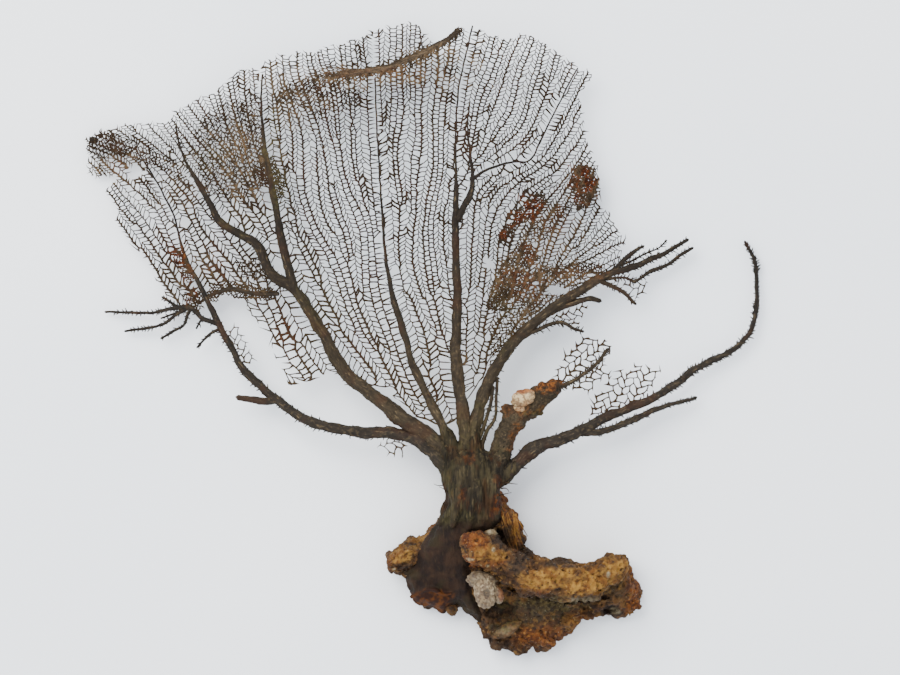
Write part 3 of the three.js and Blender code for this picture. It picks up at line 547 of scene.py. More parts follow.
# Seeds in columns that follow the growth. Each column keeps the side on which its strong rib runs.
def columnSeeds(outline):
    width, length, step = (netSettings[key] for key in ("cellWidth", "cellLength", "step"))
    reach = Reach(outline, 3)
    box = 6.0
    taken = {}
    seeds = []
    columns = []
    strongSides = []

    def sizeAt(x, y):
        uneven = 1 + 0.09 * math.sin(x / 4.1 + 2 * math.sin(y / 7)) + 0.07 * math.sin(y / 5.2 - x / 8)
        return float(blended(cellSizes, x, y, netSettings["reach"])) * uneven

    def clear(x, y, apart):
        i, j = int(x // box), int(y // box)
        for key in itertools.product((i - 1, i, i + 1), (j - 1, j, j + 1)):
            for px, py in taken.get(key, ()):
                if (px - x) ** 2 + (py - y) ** 2 < apart * apart:
                    return False
        return True

    def trace(x, y, sign):
        line = []
        while True:
            gx, gy, _ = growth((x, y))
            x, y = x + sign * gx * step, y + sign * gy * step
            size = sizeAt(x, y)
            away = growth((x, y))[2]
            if not reach.has(x, y) or away < 0.32 * width * size or not clear(x, y, 0.66 * width * size):
                return line
            line.append((x, y, size))

    waiting = deque()
    for ax, ay, bx, by, radius in guideRows:
        count = max(1, int(math.hypot(bx - ax, by - ay) / 8))
        for t in (np.arange(count) + 0.5) / count:
            x, y = ax + t * (bx - ax), ay + t * (by - ay)
            gx, gy, _ = growth((x, y))
            for side in (-1, 1):
                away = side * (0.5 * width * sizeAt(x, y) + 0.8 * radius)
                waiting.append((x - gy * away, y + gx * away, -side))
    while waiting:
        x, y, strongSide = waiting.popleft()
        size = sizeAt(x, y)
        if not reach.has(x, y) or not clear(x, y, 0.9 * width * size):
            continue
        if growth((x, y))[2] < 0.4 * width * size:
            continue
        back = trace(x, y, -1)[::-1]
        line = [*back, (x, y, size), *trace(x, y, 1)]
        if len(line) < 5:
            continue
        column = len(strongSides)
        strongSides.append(strongSide)
        phase = 0.5 - sum(step / (length * each[2]) for each in line[: len(back)])
        for x, y, size in line:
            taken.setdefault((int(x // box), int(y // box)), []).append((x, y))
            before = math.floor(phase)
            phase += step / (length * size)
            if math.floor(phase) == before:
                continue
            jitter = netSettings["jitter"] * width * size
            seeds.append((x + chance.gauss(0, jitter), y + chance.gauss(0, jitter)))
            columns.append(column)
            gx, gy, _ = growth((x, y))
            for side in (-1, 1):
                away = side * width * size
                child = -side if strongSide == side else side
                waiting.append((x - gy * away, y + gx * away, child))
    return np.array(seeds), np.array(columns), np.array(strongSides)


# The net's graph: a junction in each triangle of seeds, and a strand across each shared edge
def netGraph(seeds, columns, strongSides):
    made = delaunay_2d_cdt([tuple(p) for p in seeds], [], [], 0, 1e-6)
    spots = np.array([tuple(p) for p in made[0]])
    order = np.array([ids[0] for ids in made[3]])
    corners = order[np.array([face for face in made[2] if len(face) == 3])]
    del spots
    junctions = seeds[corners].mean(1)
    seedWays = np.array([growth(p)[:2] for p in seeds])
    unpaired = {}
    strands = []
    for i, corner in enumerate(corners.tolist()):
        for k in range(3):
            a, b = corner[k], corner[(k + 1) % 3]
            key = (a, b) if a < b else (b, a)
            if key in unpaired:
                strands.append((unpaired.pop(key), i, *key))
            else:
                unpaired[key] = i
    strands = np.array(strands)
    one, other = strands[:, 2], strands[:, 3]
    rib = columns[one] != columns[other]
    gap = seeds[other] - seeds[one]
    side = np.sign(seedWays[one, 0] * gap[:, 1] - seedWays[one, 1] * gap[:, 0])
    strong = ((strongSides[columns[one]] == side) * 0.5 + (strongSides[columns[other]] == -side) * 0.5) * rib
    lengths = np.linalg.norm(junctions[strands[:, 0]] - junctions[strands[:, 1]], axis=1)
    fits = lengths < 3.2 * netSettings["cellWidth"]
    return corners, junctions, strands[fits], rib[fits], strong[fits]


# Ribs are drawn straight, and the weak ones are slid up so that the links slant
def herringbone(junctions, strands, rib, strong):
    places = junctions.copy()
    count = len(places)
    ways = np.array([growth(p)[:2] for p in places])
    sizes = blended(cellSizes, places[:, 0], places[:, 1], netSettings["reach"])
    strength = np.zeros(count)
    for column in (0, 1):
        np.maximum.at(strength, strands[:, column], strong)
    ribs = strands[rib]
    for turn in range(5):
        total = np.zeros((count, 2))
        weights = np.zeros(count)
        weight = np.where(strong[rib] >= 0.5, 1.0, 0.25)
        for a, b in ((ribs[:, 0], ribs[:, 1]), (ribs[:, 1], ribs[:, 0])):
            np.add.at(total, a, places[b] * weight[:, None])
            np.add.at(weights, a, weight)
        pull = np.where(strength >= 0.5, 0.55, 0.22 if turn < 2 else 0)[:, None]
        aim = total / np.maximum(weights, 1e-6)[:, None]
        places = np.where(weights[:, None] > 0, places + pull * (aim - places), places)
    slide = netSettings["chevron"] * sizes * (strength < 0.5)
    places = places + ways * slide[:, None]
    return places + dice.normal(size=places.shape) * 0.1 * sizes[:, None], strength, sizes


# Strands with a diamond section around each junction, one closed body for each connected part
def netBody(places, links, half, lift=0.0):
    flat = []
    faces = []

    def add(x, y, h):
        flat.append((x, y, h))
        return len(flat) - 1

    order = {}
    rings = {}
    for i, near in links.items():
        x, y = places[i]
        turned = sorted((math.atan2(places[j][1] - y, places[j][0] - x), j) for j in near)
        order[i] = [j for _, j in turned]
        if len(turned) == 1:
            rings[i] = add(x, y, 0)
            continue
        high = half[i] * 1.05
        top, bottom = add(x, y, high), add(x, y, -high)
        ring = []
        for k, (a, _) in enumerate(turned):
            b = turned[(k + 1) % len(turned)][0]
            middle = ((b - a) % (2 * math.pi)) / 2
            reach = min(half[i] / max(math.sin(middle), 0.05), half[i] * 2.0)
            ring.append(add(x + reach * math.cos(a + middle), y + reach * math.sin(a + middle), 0))
        rings[i] = (top, bottom, ring)

    def section(i, j, mirrored):
        if isinstance(rings[i], int):
            return [rings[i]] * 4
        top, bottom, ring = rings[i]
        k = order[i].index(j)
        left, right = ring[k], ring[k - 1]
        return [right, top, left, bottom] if mirrored else [left, top, right, bottom]

    for i, near in links.items():
        for j in near:
            if j < i:
                continue
            (ax, ay), (bx, by) = places[i], places[j]
            span = math.hypot(bx - ax, by - ay)
            if span < 1e-6:
                continue
            px, py = -(by - ay) / span, (bx - ax) / span
            bend = chance.gauss(0, 0.05) * span
            thin = 0.84 * min(half[i], half[j])
            mx, my = (ax + bx) / 2 + px * bend, (ay + by) / 2 + py * bend
            middle = [
                add(mx + px * thin, my + py * thin, 0), add(mx, my, thin),
                add(mx - px * thin, my - py * thin, 0), add(mx, my, -thin),
            ]
            for one, two in ((section(i, j, False), middle), (middle, section(j, i, True))):
                for s in range(4):
                    n = (s + 1) % 4
                    face = [one[s], one[n], two[n], two[s]]
                    kept = list(dict.fromkeys(face))
                    faces.append(tuple(kept))
    flat = np.array(flat, float).reshape(-1, 3)
    skin = sheetPoint(flat[:, :2])
    height = flat[:, 2] + (lift(skin) if callable(lift) else lift)
    return skin + sheetNormal(flat[:, :2]) * height[:, None], faces


def ball(divisions):
    made = bmesh.new()
    bmesh.ops.create_icosphere(made, subdivisions=divisions, radius=1)
    points = np.array([v.co[:] for v in made.verts])
    faces = [tuple(v.index for v in face.verts) for face in made.faces]
    made.free()
    return points, faces


pebbleForm = ball(2)


def pebble(at, size, rough=0.35):
    points, faces = pebbleForm
    uneven = 1 + rough * grain(points * 1.7 + np.asarray(at) * 3.1)
    return np.asarray(at) + points * uneven[:, None] * np.asarray(size), faces


# The whole net, shared out between the limbs that carry it
def xy(route):
    return [row[:2] for row in route]


far = 300
leftTrunk = xy(bigLeftLimb[:7])
leftEnd = xy(bigLeftLimb[6:])
areas = {
    "far_left_limb": [[*xy(farLeftLimb[4:]), *xy(bigLeftLimb[-2:]), (-far, 120), (-far, -100), (-40, -100)]],
    "big_left_limb": [[*xy(farLeftLimb[2:])[::-1], *xy(bigLeftLimb[:-1])]],
    "left_fork": [[*xy(leftFork), (-98, far), (-far, far), (-far, 120), *leftEnd[1:][::-1]]],
    "inner_left_limb": [
        [*leftTrunk, *xy(leftFork)[1:], (-98, far), (-30, far), *xy(innerLeftLimb)[::-1]],
    ],
    "centre_limb": [
        [*xy(innerLeftLimb), (-30, far), (28, far), *xy(centreLimb)[::-1]],
        [*xy(centreLimb[6:]), (28, far), (160, far), *xy(centreBranch)[::-1]],
    ],
    "right_limb": [
        [*xy(centreLimb[:6]), *xy(centreFork[:2]), *xy(centreBranch), (160, far), (far, far), (far, 60),
         *xy(rightLimb)[::-1]],
    ],
}

# Torn holes in the net: x, y, half width, half height
holes = [(79.5, 28, 6.5, 2.6), (-174, 100, 4.4, 4), (-118, 22, 5, 4), (-98, -5, 4, 3), (40, 44, 2.5, 3)]

# Finer growth that only the scene shows: x, y, radius
eastBranch = [(73, 13, 2.1), (82, 18, 1.9), (90, 20.5, 1.8), (99, 23, 1.6), (106, 22, 1.3)]
eastTwig = [(55, -2, 1.5), (70, 5, 1.3), (82, 9, 1.1), (90, 5.5, 0.9), (96, 3.5, 0.8)]
innerStrands = [
    [(42, -29, 1.0), (40.5, -41, 1.1), (36, -55, 1.3), (33, -62, 1.4)],
    [(45, -24, 0.9), (44, -38, 0.9), (43.5, -48, 1.0), (38, -57, 1.2), (35, -66, 1.2)],
]
ladderScrap = [
    (76, 13.7), (90, 20), (100.5, 20), (97, 14), (94, 9), (85, 9.5), (77.7, 8),
]
tipScrap = [(112, 35), (125, 36), (135, 34), (136, 29), (130, 23), (121, 28)]
limbScraps = [
    [(-120, -2), (-113, 8), (-107, 4), (-104, -8), (-99, -16), (-107, -19)],
    [(-24, -60), (-14, -60), (-9, -66), (-14, -73), (-22, -71), (-27, -65)],
]

marginSettings = {"ragged": 1.6, "shortest": 0.25, "longest": 1.15, "broken": 0.012}


def holed(points):
    found = np.zeros(len(points), bool)
    for x, y, rx, ry in holes:
        found |= ((points[:, 0] - x) / rx) ** 2 + ((points[:, 1] - y) / ry) ** 2 < 1
    return found


def planOf(flat):
    return np.column_stack([flat[:, 0], fold(flat[:, 0], flat[:, 1])[0]])


# Strands inside the outline, with torn stubs where they leave it
def tornStrands(places, strands, outline, half):
    grown = np.column_stack([places, np.zeros(len(places))])
    away = outsideBy(places, outline) + marginSettings["ragged"] * octaves(grown, 8, 2)
    kept = (away < 0) & ~holed(planOf(places))
    places = [tuple(p) for p in places]
    half = list(half)
    pairs = []
    for a, b in strands:
        if not kept[a] and not kept[b]:
            continue
        if kept[a] and kept[b] and chance.random() > marginSettings["broken"]:
            pairs.append((a, b))
            continue
        if not kept[a]:
            a, b = b, a
        (ax, ay), (bx, by) = places[a], places[b]
        share = chance.uniform(marginSettings["shortest"], marginSettings["longest"])
        places.append((ax + share * (bx - ax), ay + share * (by - ay)))
        half.append(half[a] * 0.6)
        pairs.append((a, len(places) - 1))
    return np.array(places), np.array(half), pairs


# Drops strands that hang on nothing: parts of the graph that are small
def rooted(pairs, least):
    parent = {}

    def root(i):
        while parent.setdefault(i, i) != i:
            parent[i] = parent[parent[i]]
            i = parent[i]
        return i

    for a, b in pairs:
        parent[root(a)] = root(b)
    sizes = {}
    for a, _ in pairs:
        sizes[root(a)] = sizes.get(root(a), 0) + 1
    return [(a, b) for a, b in pairs if sizes[root(a)] >= least]


def linksOf(pairs):
    links = {}
    for a, b in pairs:
        links.setdefault(a, set()).add(b)
        links.setdefault(b, set()).add(a)
    return links


# Stronger strands that wander out from the limbs across the ribs
def addVeins(places, links, half, starts):
    for _ in range(netSettings["veins"]):
        at = starts[chance.randrange(len(starts))]
        side = chance.choice((-1, 1))
        for step in range(chance.randint(4, 15)):
            gx, gy, _ = growth(places[at])
            turn = side * max(0.15, 1.25 - 0.09 * step)
            wx, wy = gx * math.cos(turn) - gy * math.sin(turn), gx * math.sin(turn) + gy * math.cos(turn)
            ahead = [(
                ((places[j][0] - places[at][0]) * wx + (places[j][1] - places[at][1]) * wy)
                / (math.dist(places[j], places[at]) + 1e-6), j,
            ) for j in links.get(at, ())]
            if not ahead or max(ahead)[0] < 0.2:
                break
            half[at] = max(half[at], netSettings["strongHalf"] * 1.1)
            at = max(ahead)[1]
    return half


def thickness(flat, strength, sizes):
    plan = planOf(flat)
    spots = np.column_stack([plan, np.zeros(len(plan))])
    base = netSettings["weakHalf"] + (netSettings["strongHalf"] - netSettings["weakHalf"]) * strength
    crust = 0.45 * stainAt(spots, "dust") + 1.1 * stainAt(spots, "rust") * (0.5 + np.abs(grain(spots / 2.2)))
    return base * np.clip(sizes, 0.8, 1.25) * (1 + 0.14 * grain(spots / 3)) * (1 + crust)


def sheetNet():
    outline = unfold(sheetOutline)
    seeds, columns, strongSides = columnSeeds(outline)
    print("stage: net seeds", len(seeds))
    corners, junctions, strands, rib, strong = netGraph(seeds, columns, strongSides)
    places, strength, sizes = herringbone(junctions, strands, rib, strong)
    half = thickness(places, strength, sizes)
    buried = np.array([float((awayFromRows(p, limbRows) - 0.7 * limbRows[:, 4]).min()) < 0 for p in places])
    shown = ~(buried[strands[:, 0]] & buried[strands[:, 1]])
    torn, half, pairs = tornStrands(places, strands[shown][:, :2].tolist(), outline, half)
    pairs = rooted(pairs, 12)
    whole = linksOf(pairs)
    beside = [i for i in whole if i < len(buried) and buried[i]]
    half = addVeins(torn, whole, half, beside)
    plan = planOf(torn)
    ends = np.array(pairs)
    middles = (plan[ends[:, 0]] + plan[ends[:, 1]]) / 2
    nets = {}
    for name, polygons in areas.items():
        own = np.zeros(len(pairs), bool)
        for polygon in polygons:
            own |= inside(middles, polygon)
        links = linksOf([pair for pair, mine in zip(pairs, own) if mine])
        nets[name] = [netBody(torn, links, half)]
    return nets


# A patch of net on its own, with straight columns along a direction in degrees
def patchNet(outline, direction, size, half, least=6, lift=0.0):
    outline = unfold(outline)
    width, length = netSettings["cellWidth"] * size, netSettings["cellLength"] * size * 1.15
    turn = math.radians(direction)
    centre = outline.mean(0)
    reach = int(np.ptp(outline, axis=0).max() / length) + 3
    seeds = []
    columns = []
    for column in range(-reach, reach + 1):
        for row in range(-reach, reach + 1):
            across = column * width + chance.gauss(0, 0.16 * width)
            along = (row + 0.5 * (column % 2)) * length + chance.gauss(0, 0.16 * length)
            bow = 0.004 * across * across
            x = centre[0] + (along - bow) * math.cos(turn) - across * math.sin(turn)
            y = centre[1] + (along - bow) * math.sin(turn) + across * math.cos(turn)
            seeds.append((x, y))
            columns.append(column)
    made = delaunay_2d_cdt(seeds, [], [], 0, 1e-6)
    order = [ids[0] for ids in made[3]]
    corners = np.array([[order[i] for i in face] for face in made[2] if len(face) == 3])
    seeds, columns = np.array(seeds), np.array(columns)
    junctions = seeds[corners].mean(1)
    shared = {}
    strands = []
    for i, corner in enumerate(corners.tolist()):
        for k in range(3):
            key = tuple(sorted((corner[k], corner[(k + 1) % 3])))
            if key in shared:
                strands.append((shared.pop(key), i, *key))
            else:
                shared[key] = i
    strands = np.array(strands)
    pair = np.sort(columns[strands[:, 2:]], axis=1)
    strength = np.zeros(len(junctions))
    strong = (pair[:, 0] != pair[:, 1]) & (pair[:, 0] % 2 == 0)
    strength[strands[strong][:, :2].ravel()] = 0.8
    slide = np.where(strength < 0.5, 0.45 * length, 0)[:, None] * (math.cos(turn), math.sin(turn))
    places = junctions + slide + dice.normal(size=junctions.shape) * 0.08 * width
    thick = half * (1 + 0.5 * strength) * (1 + 0.15 * dice.normal(size=len(places)).clip(-2, 2))
    torn, thick, pairs = tornStrands(places, strands[:, :2].tolist(), outline, thick)
    return netBody(torn, linksOf(rooted(pairs, least)), thick, lift)


# Limbs
barkSettings = {"sides": 20, "twigSides": 9, "spacing": 1.0, "wobble": 0.45, "uneven": 0.14, "stretch": 0.25}


def barkShape(offset):
    def shape(angle, length):
        coarse = np.column_stack([1.3 * np.cos(angle) + offset, 1.3 * np.sin(angle), length / 14])
        fine = np.column_stack([3.6 * np.cos(angle) + offset, 3.6 * np.sin(angle), length / 8])
        knots = np.column_stack([2 * np.cos(angle) + offset, 2 * np.sin(angle), length / 2.2])
        return 1 + 0.2 * grain(coarse) + 0.2 * grain(fine) + 0.13 * grain(knots)

    return shape


# Limbs that thin out to ribs of the net
netted = [route[0] for route in (farLeftLimb, bigLeftLimb, leftFork, innerLeftLimb, centreLimb, centreFork,
    centreBranch, innerRib)]


def limbPath(route, spacing=None):
    rows = spline(route, spacing or barkSettings["spacing"])
    points = sheetPoint(unfold(rows[:, :2]))
    wobble = barkSettings["wobble"]
    drift = [wobble * octaves(points + 40 * k, 9, 2) for k in range(3)]
    radii = rows[:, 2] * (1 + barkSettings["uneven"] * octaves(points + 7, 13, 2))
    if route[0] in netted:
        radii = radii * (1 - 0.45 * smooth(1.8, 0.95, rows[:, 2]))
    return points + np.column_stack(drift) * np.minimum(1, rows[:, 2])[:, None], radii


# Coordinates of a tube's points around and along it, for bark that runs with the limb
def barkGrain(points, radii, sides, offset):
    length = np.concatenate([[0], np.cumsum(np.linalg.norm(np.diff(points, axis=0), axis=1))])
    angle, reach = np.meshgrid(np.arange(sides) * 2 * math.pi / sides, length)
    radius = np.repeat(radii[:, None], sides, axis=1)
    grid = np.stack([radius * np.cos(angle), radius * np.sin(angle), barkSettings["stretch"] * reach],
        -1).reshape(-1, 3)
    ends = np.array([(0, 0, 0), (0, 0, barkSettings["stretch"] * length[-1])])
    return np.vstack([grid, ends]) + offset


def limbBody(route, sides=None):
    points, radii = limbPath(route)
    count = sides or (barkSettings["sides"] if route[0][2] > 1.9 else barkSettings["twigSides"])
    offset = route[0][0] * 0.37 + route[0][1]
    return *tube(points, radii, count, barkShape(offset)), barkGrain(points, radii, count, offset)


# A short torn strand that leaves a limb
def barb(foot, way, size, root):
    bend = np.array([chance.gauss(0, 0.2), chance.gauss(0, 0.2), chance.gauss(0, 0.12)])
    shares = np.array([0, 0.4, 0.75, 1])
    points = foot + np.outer(shares * size, way) + np.outer(shares**2 * size, bend)
    return tube(points, root * np.array([1.2, 0.95, 0.75, 0.45]), 5)


# Torn strands along a limb, on the chosen sides, from one share of its length to another
def barbs(route, spacing, size, start=0.0, end=1.0, sides=(-1, 1), root=0.5, lean=0.8, split=0.25):
    points, radii = limbPath(route, 0.6)
    ways = unit(np.gradient(points, axis=0))
    made = []
    count = len(points)
    at = start * count
    while at < min(end * count, count - 2):
        i = int(at)
        for side in sides:
            if chance.random() < 0.18:
                continue
            out = unit(np.array([-ways[i][1], ways[i][0], 0])) * side
            way = unit(out + lean * chance.uniform(0.5, 1.4) * ways[i] + (0, 0, chance.gauss(0, 0.25)))
            reach = size * chance.uniform(0.3, 0.95)
            foot = points[i] + out * radii[i] * 0.6
            made.append(barb(foot, way, reach + 0.5 * radii[i], root))
            if chance.random() < split:
                turn = unit(way + 0.9 * ways[i] - 0.3 * out)
                made.append(barb(foot + way * reach * 0.6, turn, reach * 0.6, root * 0.7))
        at += spacing / 0.6 * chance.uniform(0.5, 1.5)
    return made


# Material building blocks
def paint(red, green, blue):
    return tuple(((c / 255 + 0.055) / 1.055) ** 2.4 if c > 10 else c / 255 / 12.92 for c in (red, green,
        blue)) + (1,)


def node(tree, kind, inputs=None, **settings):
    made = tree.nodes.new(kind)
    for key, value in settings.items():
        setattr(made, key, value)
    for key, value in (inputs or {}).items():
        if isinstance(value, bpy.types.NodeSocket):
            tree.links.new(value, made.inputs[key])
        else:
            made.inputs[key].default_value = value
    return made


def group(name, inputs, outputs):
    tree = bpy.data.node_groups.new(name, "ShaderNodeTree")
    for label, kind, value in inputs:
        socket = tree.interface.new_socket(label, in_out="INPUT", socket_type=kind)
        if value is not None:
            socket.default_value = value
    for label, kind in outputs:
        tree.interface.new_socket(label, in_out="OUTPUT", socket_type=kind)
    return tree, tree.nodes.new("NodeGroupInput"), tree.nodes.new("NodeGroupOutput")


def maths(tree, operation, a, b=None, clamp=False):
    inputs = {0: a} if b is None else {0: a, 1: b}
    return node(tree, "ShaderNodeMath", inputs, operation=operation, use_clamp=clamp).outputs[0]


def mixed(tree, factor, a, b, blend="MIX"):
    made = node(tree, "ShaderNodeMix", None, data_type="RGBA", blend_type=blend)
    for index, value in ((0, factor), (6, a), (7, b)):
        if isinstance(value, bpy.types.NodeSocket):
            tree.links.new(value, made.inputs[index])
        else:
            made.inputs[index].default_value = value
    return made.outputs[2]


# Blotches of a given size: 0 to 1, between two thresholds of noise
def makeBlotch():
    tree, given, result = group(
        "blotch",
        [("Size mm", "NodeSocketFloat", 10.0), ("From", "NodeSocketFloat", 0.4),
            ("To", "NodeSocketFloat", 0.6),
         ("Detail", "NodeSocketFloat", 4.0), ("Shift", "NodeSocketFloat", 0.0),
             ("Along", "NodeSocketFloat", 1.0)],
        [("Mask", "NodeSocketFloat")],
    )
    place = node(tree, "ShaderNodeTexCoord").outputs["Object"]
    stretch = node(tree, "ShaderNodeCombineXYZ", {0: 1.0, 1: given.outputs["Along"], 2: 1.0}).outputs[0]
    place = node(tree, "ShaderNodeVectorMath", {0: place, 1: stretch}, operation="MULTIPLY").outputs[0]
    shift = node(tree, "ShaderNodeCombineXYZ", {0: given.outputs["Shift"]}).outputs[0]
    place = node(tree, "ShaderNodeVectorMath", {0: place, 1: shift}, operation="ADD").outputs[0]
    scale = maths(tree, "DIVIDE", 1000.0, given.outputs["Size mm"])
    noise = node(tree, "ShaderNodeTexNoise",
        {"Vector": place, "Scale": scale, "Detail": given.outputs["Detail"]})
    mask = node(tree, "ShaderNodeMapRange", {"Value": noise.outputs[0], "From Min": given.outputs["From"],
                                             "From Max": given.outputs["To"]},
                                                 interpolation_type="SMOOTHSTEP")
    tree.links.new(mask.outputs[0], result.inputs["Mask"])
    return tree


# Fine relief: grains of a given size over a coarser swell
def makeRelief():
    tree, given, result = group(
        "relief",
        [("Size mm", "NodeSocketFloat", 1.0), ("Strength", "NodeSocketFloat", 0.5),
         ("Depth mm", "NodeSocketFloat", 0.3), ("Along", "NodeSocketFloat", 1.0)],
        [("Height", "NodeSocketFloat"), ("Normal", "NodeSocketVector")],
    )
    place = node(tree, "ShaderNodeTexCoord").outputs["Object"]
    stretch = node(tree, "ShaderNodeCombineXYZ", {0: 1.0, 1: given.outputs["Along"], 2: 1.0}).outputs[0]
    place = node(tree, "ShaderNodeVectorMath", {0: place, 1: stretch}, operation="MULTIPLY").outputs[0]
    scale = maths(tree, "DIVIDE", 1000.0, given.outputs["Size mm"])
    noise = node(tree, "ShaderNodeTexNoise",
        {"Vector": place, "Scale": scale, "Detail": 5.0, "Roughness": 0.65})
    grains = node(tree, "ShaderNodeTexVoronoi", {"Vector": place, "Scale": scale}, feature="F1")
    height = maths(tree, "SUBTRACT", noise.outputs[0],
        maths(tree, "MULTIPLY", grains.outputs["Distance"], 0.35))
    depth = maths(tree, "MULTIPLY", given.outputs["Depth mm"], 0.001)
    bump = node(tree, "ShaderNodeBump",
        {"Strength": given.outputs["Strength"], "Distance": depth, "Height": height})
    tree.links.new(height, result.inputs["Height"])
    tree.links.new(bump.outputs[0], result.inputs["Normal"])
    return tree


blotchGroup = makeBlotch()
reliefGroup = makeRelief()


def blotch(tree, size, low, high, detail=4.0, shift=0.0, along=1.0):
    made = node(tree, "ShaderNodeGroup", node_tree=blotchGroup)
    for key, value in (("Size mm", size), ("From", low), ("To", high), ("Detail", detail),
                       ("Shift", shift), ("Along", along)):
        made.inputs[key].default_value = value
    return made.outputs["Mask"]


def relief(tree, size, strength, depth, along=1.0):
    made = node(tree, "ShaderNodeGroup", node_tree=reliefGroup)
    for key, value in (("Size mm", size), ("Strength", strength), ("Depth mm", depth), ("Along", along)):
        made.inputs[key].default_value = value
    return made


def newMaterial(name):
    made = bpy.data.materials.new(name)
    made.use_nodes = True
    tree = made.node_tree
    return made, tree, next(n for n in tree.nodes if n.type == "BSDF_PRINCIPLED")


def stainSockets(tree):
    values = node(tree, "ShaderNodeAttribute", attribute_name="stain").outputs["Vector"]
    return node(tree, "ShaderNodeSeparateXYZ", {0: values}).outputs


def hornMaterial(name, base, worn, stretch, grainSize, dustShare, rustTones):
    made, tree, surface = newMaterial(name)
    rust, dust, moss = stainSockets(tree)
    place = node(tree, "ShaderNodeTexCoord").outputs["Object"]
    along = node(tree, "ShaderNodeSeparateXYZ", {0: place}).outputs[1]
    high = node(tree, "ShaderNodeMapRange", {"Value": along, "From Min": -0.045, "From Max": 0.06}).outputs[0]
    colour = mixed(tree, high, worn, base)
    colour = mixed(tree, maths(tree, "MULTIPLY", blotch(tree, 7, 0.42, 0.68, shift=0.3), 0.6), colour, base)
    grainPlace = node(tree, "ShaderNodeAttribute", attribute_name="grain").outputs["Vector"]
    fibres = node(tree, "ShaderNodeTexNoise",
        {"Vector": grainPlace, "Scale": 0.9, "Detail": 4.0, "Roughness": 0.6}).outputs[0]
    streaks = node(tree, "ShaderNodeMapRange",
        {"Value": fibres, "From Min": 0.42, "From Max": 0.62}).outputs[0]
    colour = mixed(tree, maths(tree, "MULTIPLY", streaks, 0.8), colour,
        mixed(tree, 0.5, colour, (0.004, 0.003, 0.002, 1)))
    pale = node(tree, "ShaderNodeMapRange", {"Value": fibres, "From Min": 0.4, "From Max": 0.3}).outputs[0]
    colour = mixed(tree, maths(tree, "MULTIPLY", pale, 0.55), colour, paint(116, 98, 70))
    flecks = mixed(tree, high, paint(78, 66, 47), paint(56, 45, 31))
    colour = mixed(tree, maths(tree, "MULTIPLY", blotch(tree, 2.2, 0.52, 0.7, shift=0.9), 0.45), colour,
        flecks)
    colour = mixed(tree, maths(tree, "MULTIPLY", blotch(tree, 16, 0.52, 0.66, shift=2.0), 0.35), colour,
        paint(58, 34, 20))
    dusty = mixed(tree, blotch(tree, 3.0, 0.4, 0.62), paint(58, 47, 34), paint(104, 84, 60))
    colour = mixed(tree, maths(tree, "MULTIPLY", dust, dustShare), colour, dusty)
    mossy = mixed(tree, blotch(tree, 2.4, 0.4, 0.6), paint(40, 35, 18), paint(68, 61, 33))
    colour = mixed(tree, maths(tree, "MULTIPLY", moss, 0.7), colour, mossy)
    rusty = mixed(tree, blotch(tree, 2.0, 0.42, 0.6), *rustTones)
    spotted = maths(tree, "MULTIPLY", rust, blotch(tree, 5.0, 0.36, 0.52, shift=1.4))
    colour = mixed(tree, spotted, colour, rusty)
    tree.links.new(colour, surface.inputs["Base Color"])
    surface.inputs["Roughness"].default_value = 0.8
    surface.inputs["Specular IOR Level"].default_value = 0.14
    bumpy = relief(tree, grainSize, 0.9, 0.4, stretch).outputs["Normal"]
    ridges = node(tree, "ShaderNodeBump",
        {"Strength": 0.9, "Distance": 0.0006, "Height": fibres, "Normal": bumpy})
    tree.links.new(ridges.outputs[0], surface.inputs["Normal"])
    return made


netRust = (paint(40, 18, 7), paint(86, 42, 15))
limbRust = (paint(56, 32, 15), paint(112, 66, 28))
netHorn = hornMaterial("horn of the net", paint(42, 31, 18), paint(60, 46, 27), 1.0, 1.2, 0.8, netRust)
limbHorn = hornMaterial("horn of the limbs", paint(30, 24, 18), paint(54, 45, 32), 0.35, 1.4, 0.2, limbRust)
darkHorn = hornMaterial("horn of the lower limbs", paint(24, 20, 17), paint(42, 36, 29), 0.35, 1.3, 0.2,
    limbRust)
print("stage: materials of the fan made")


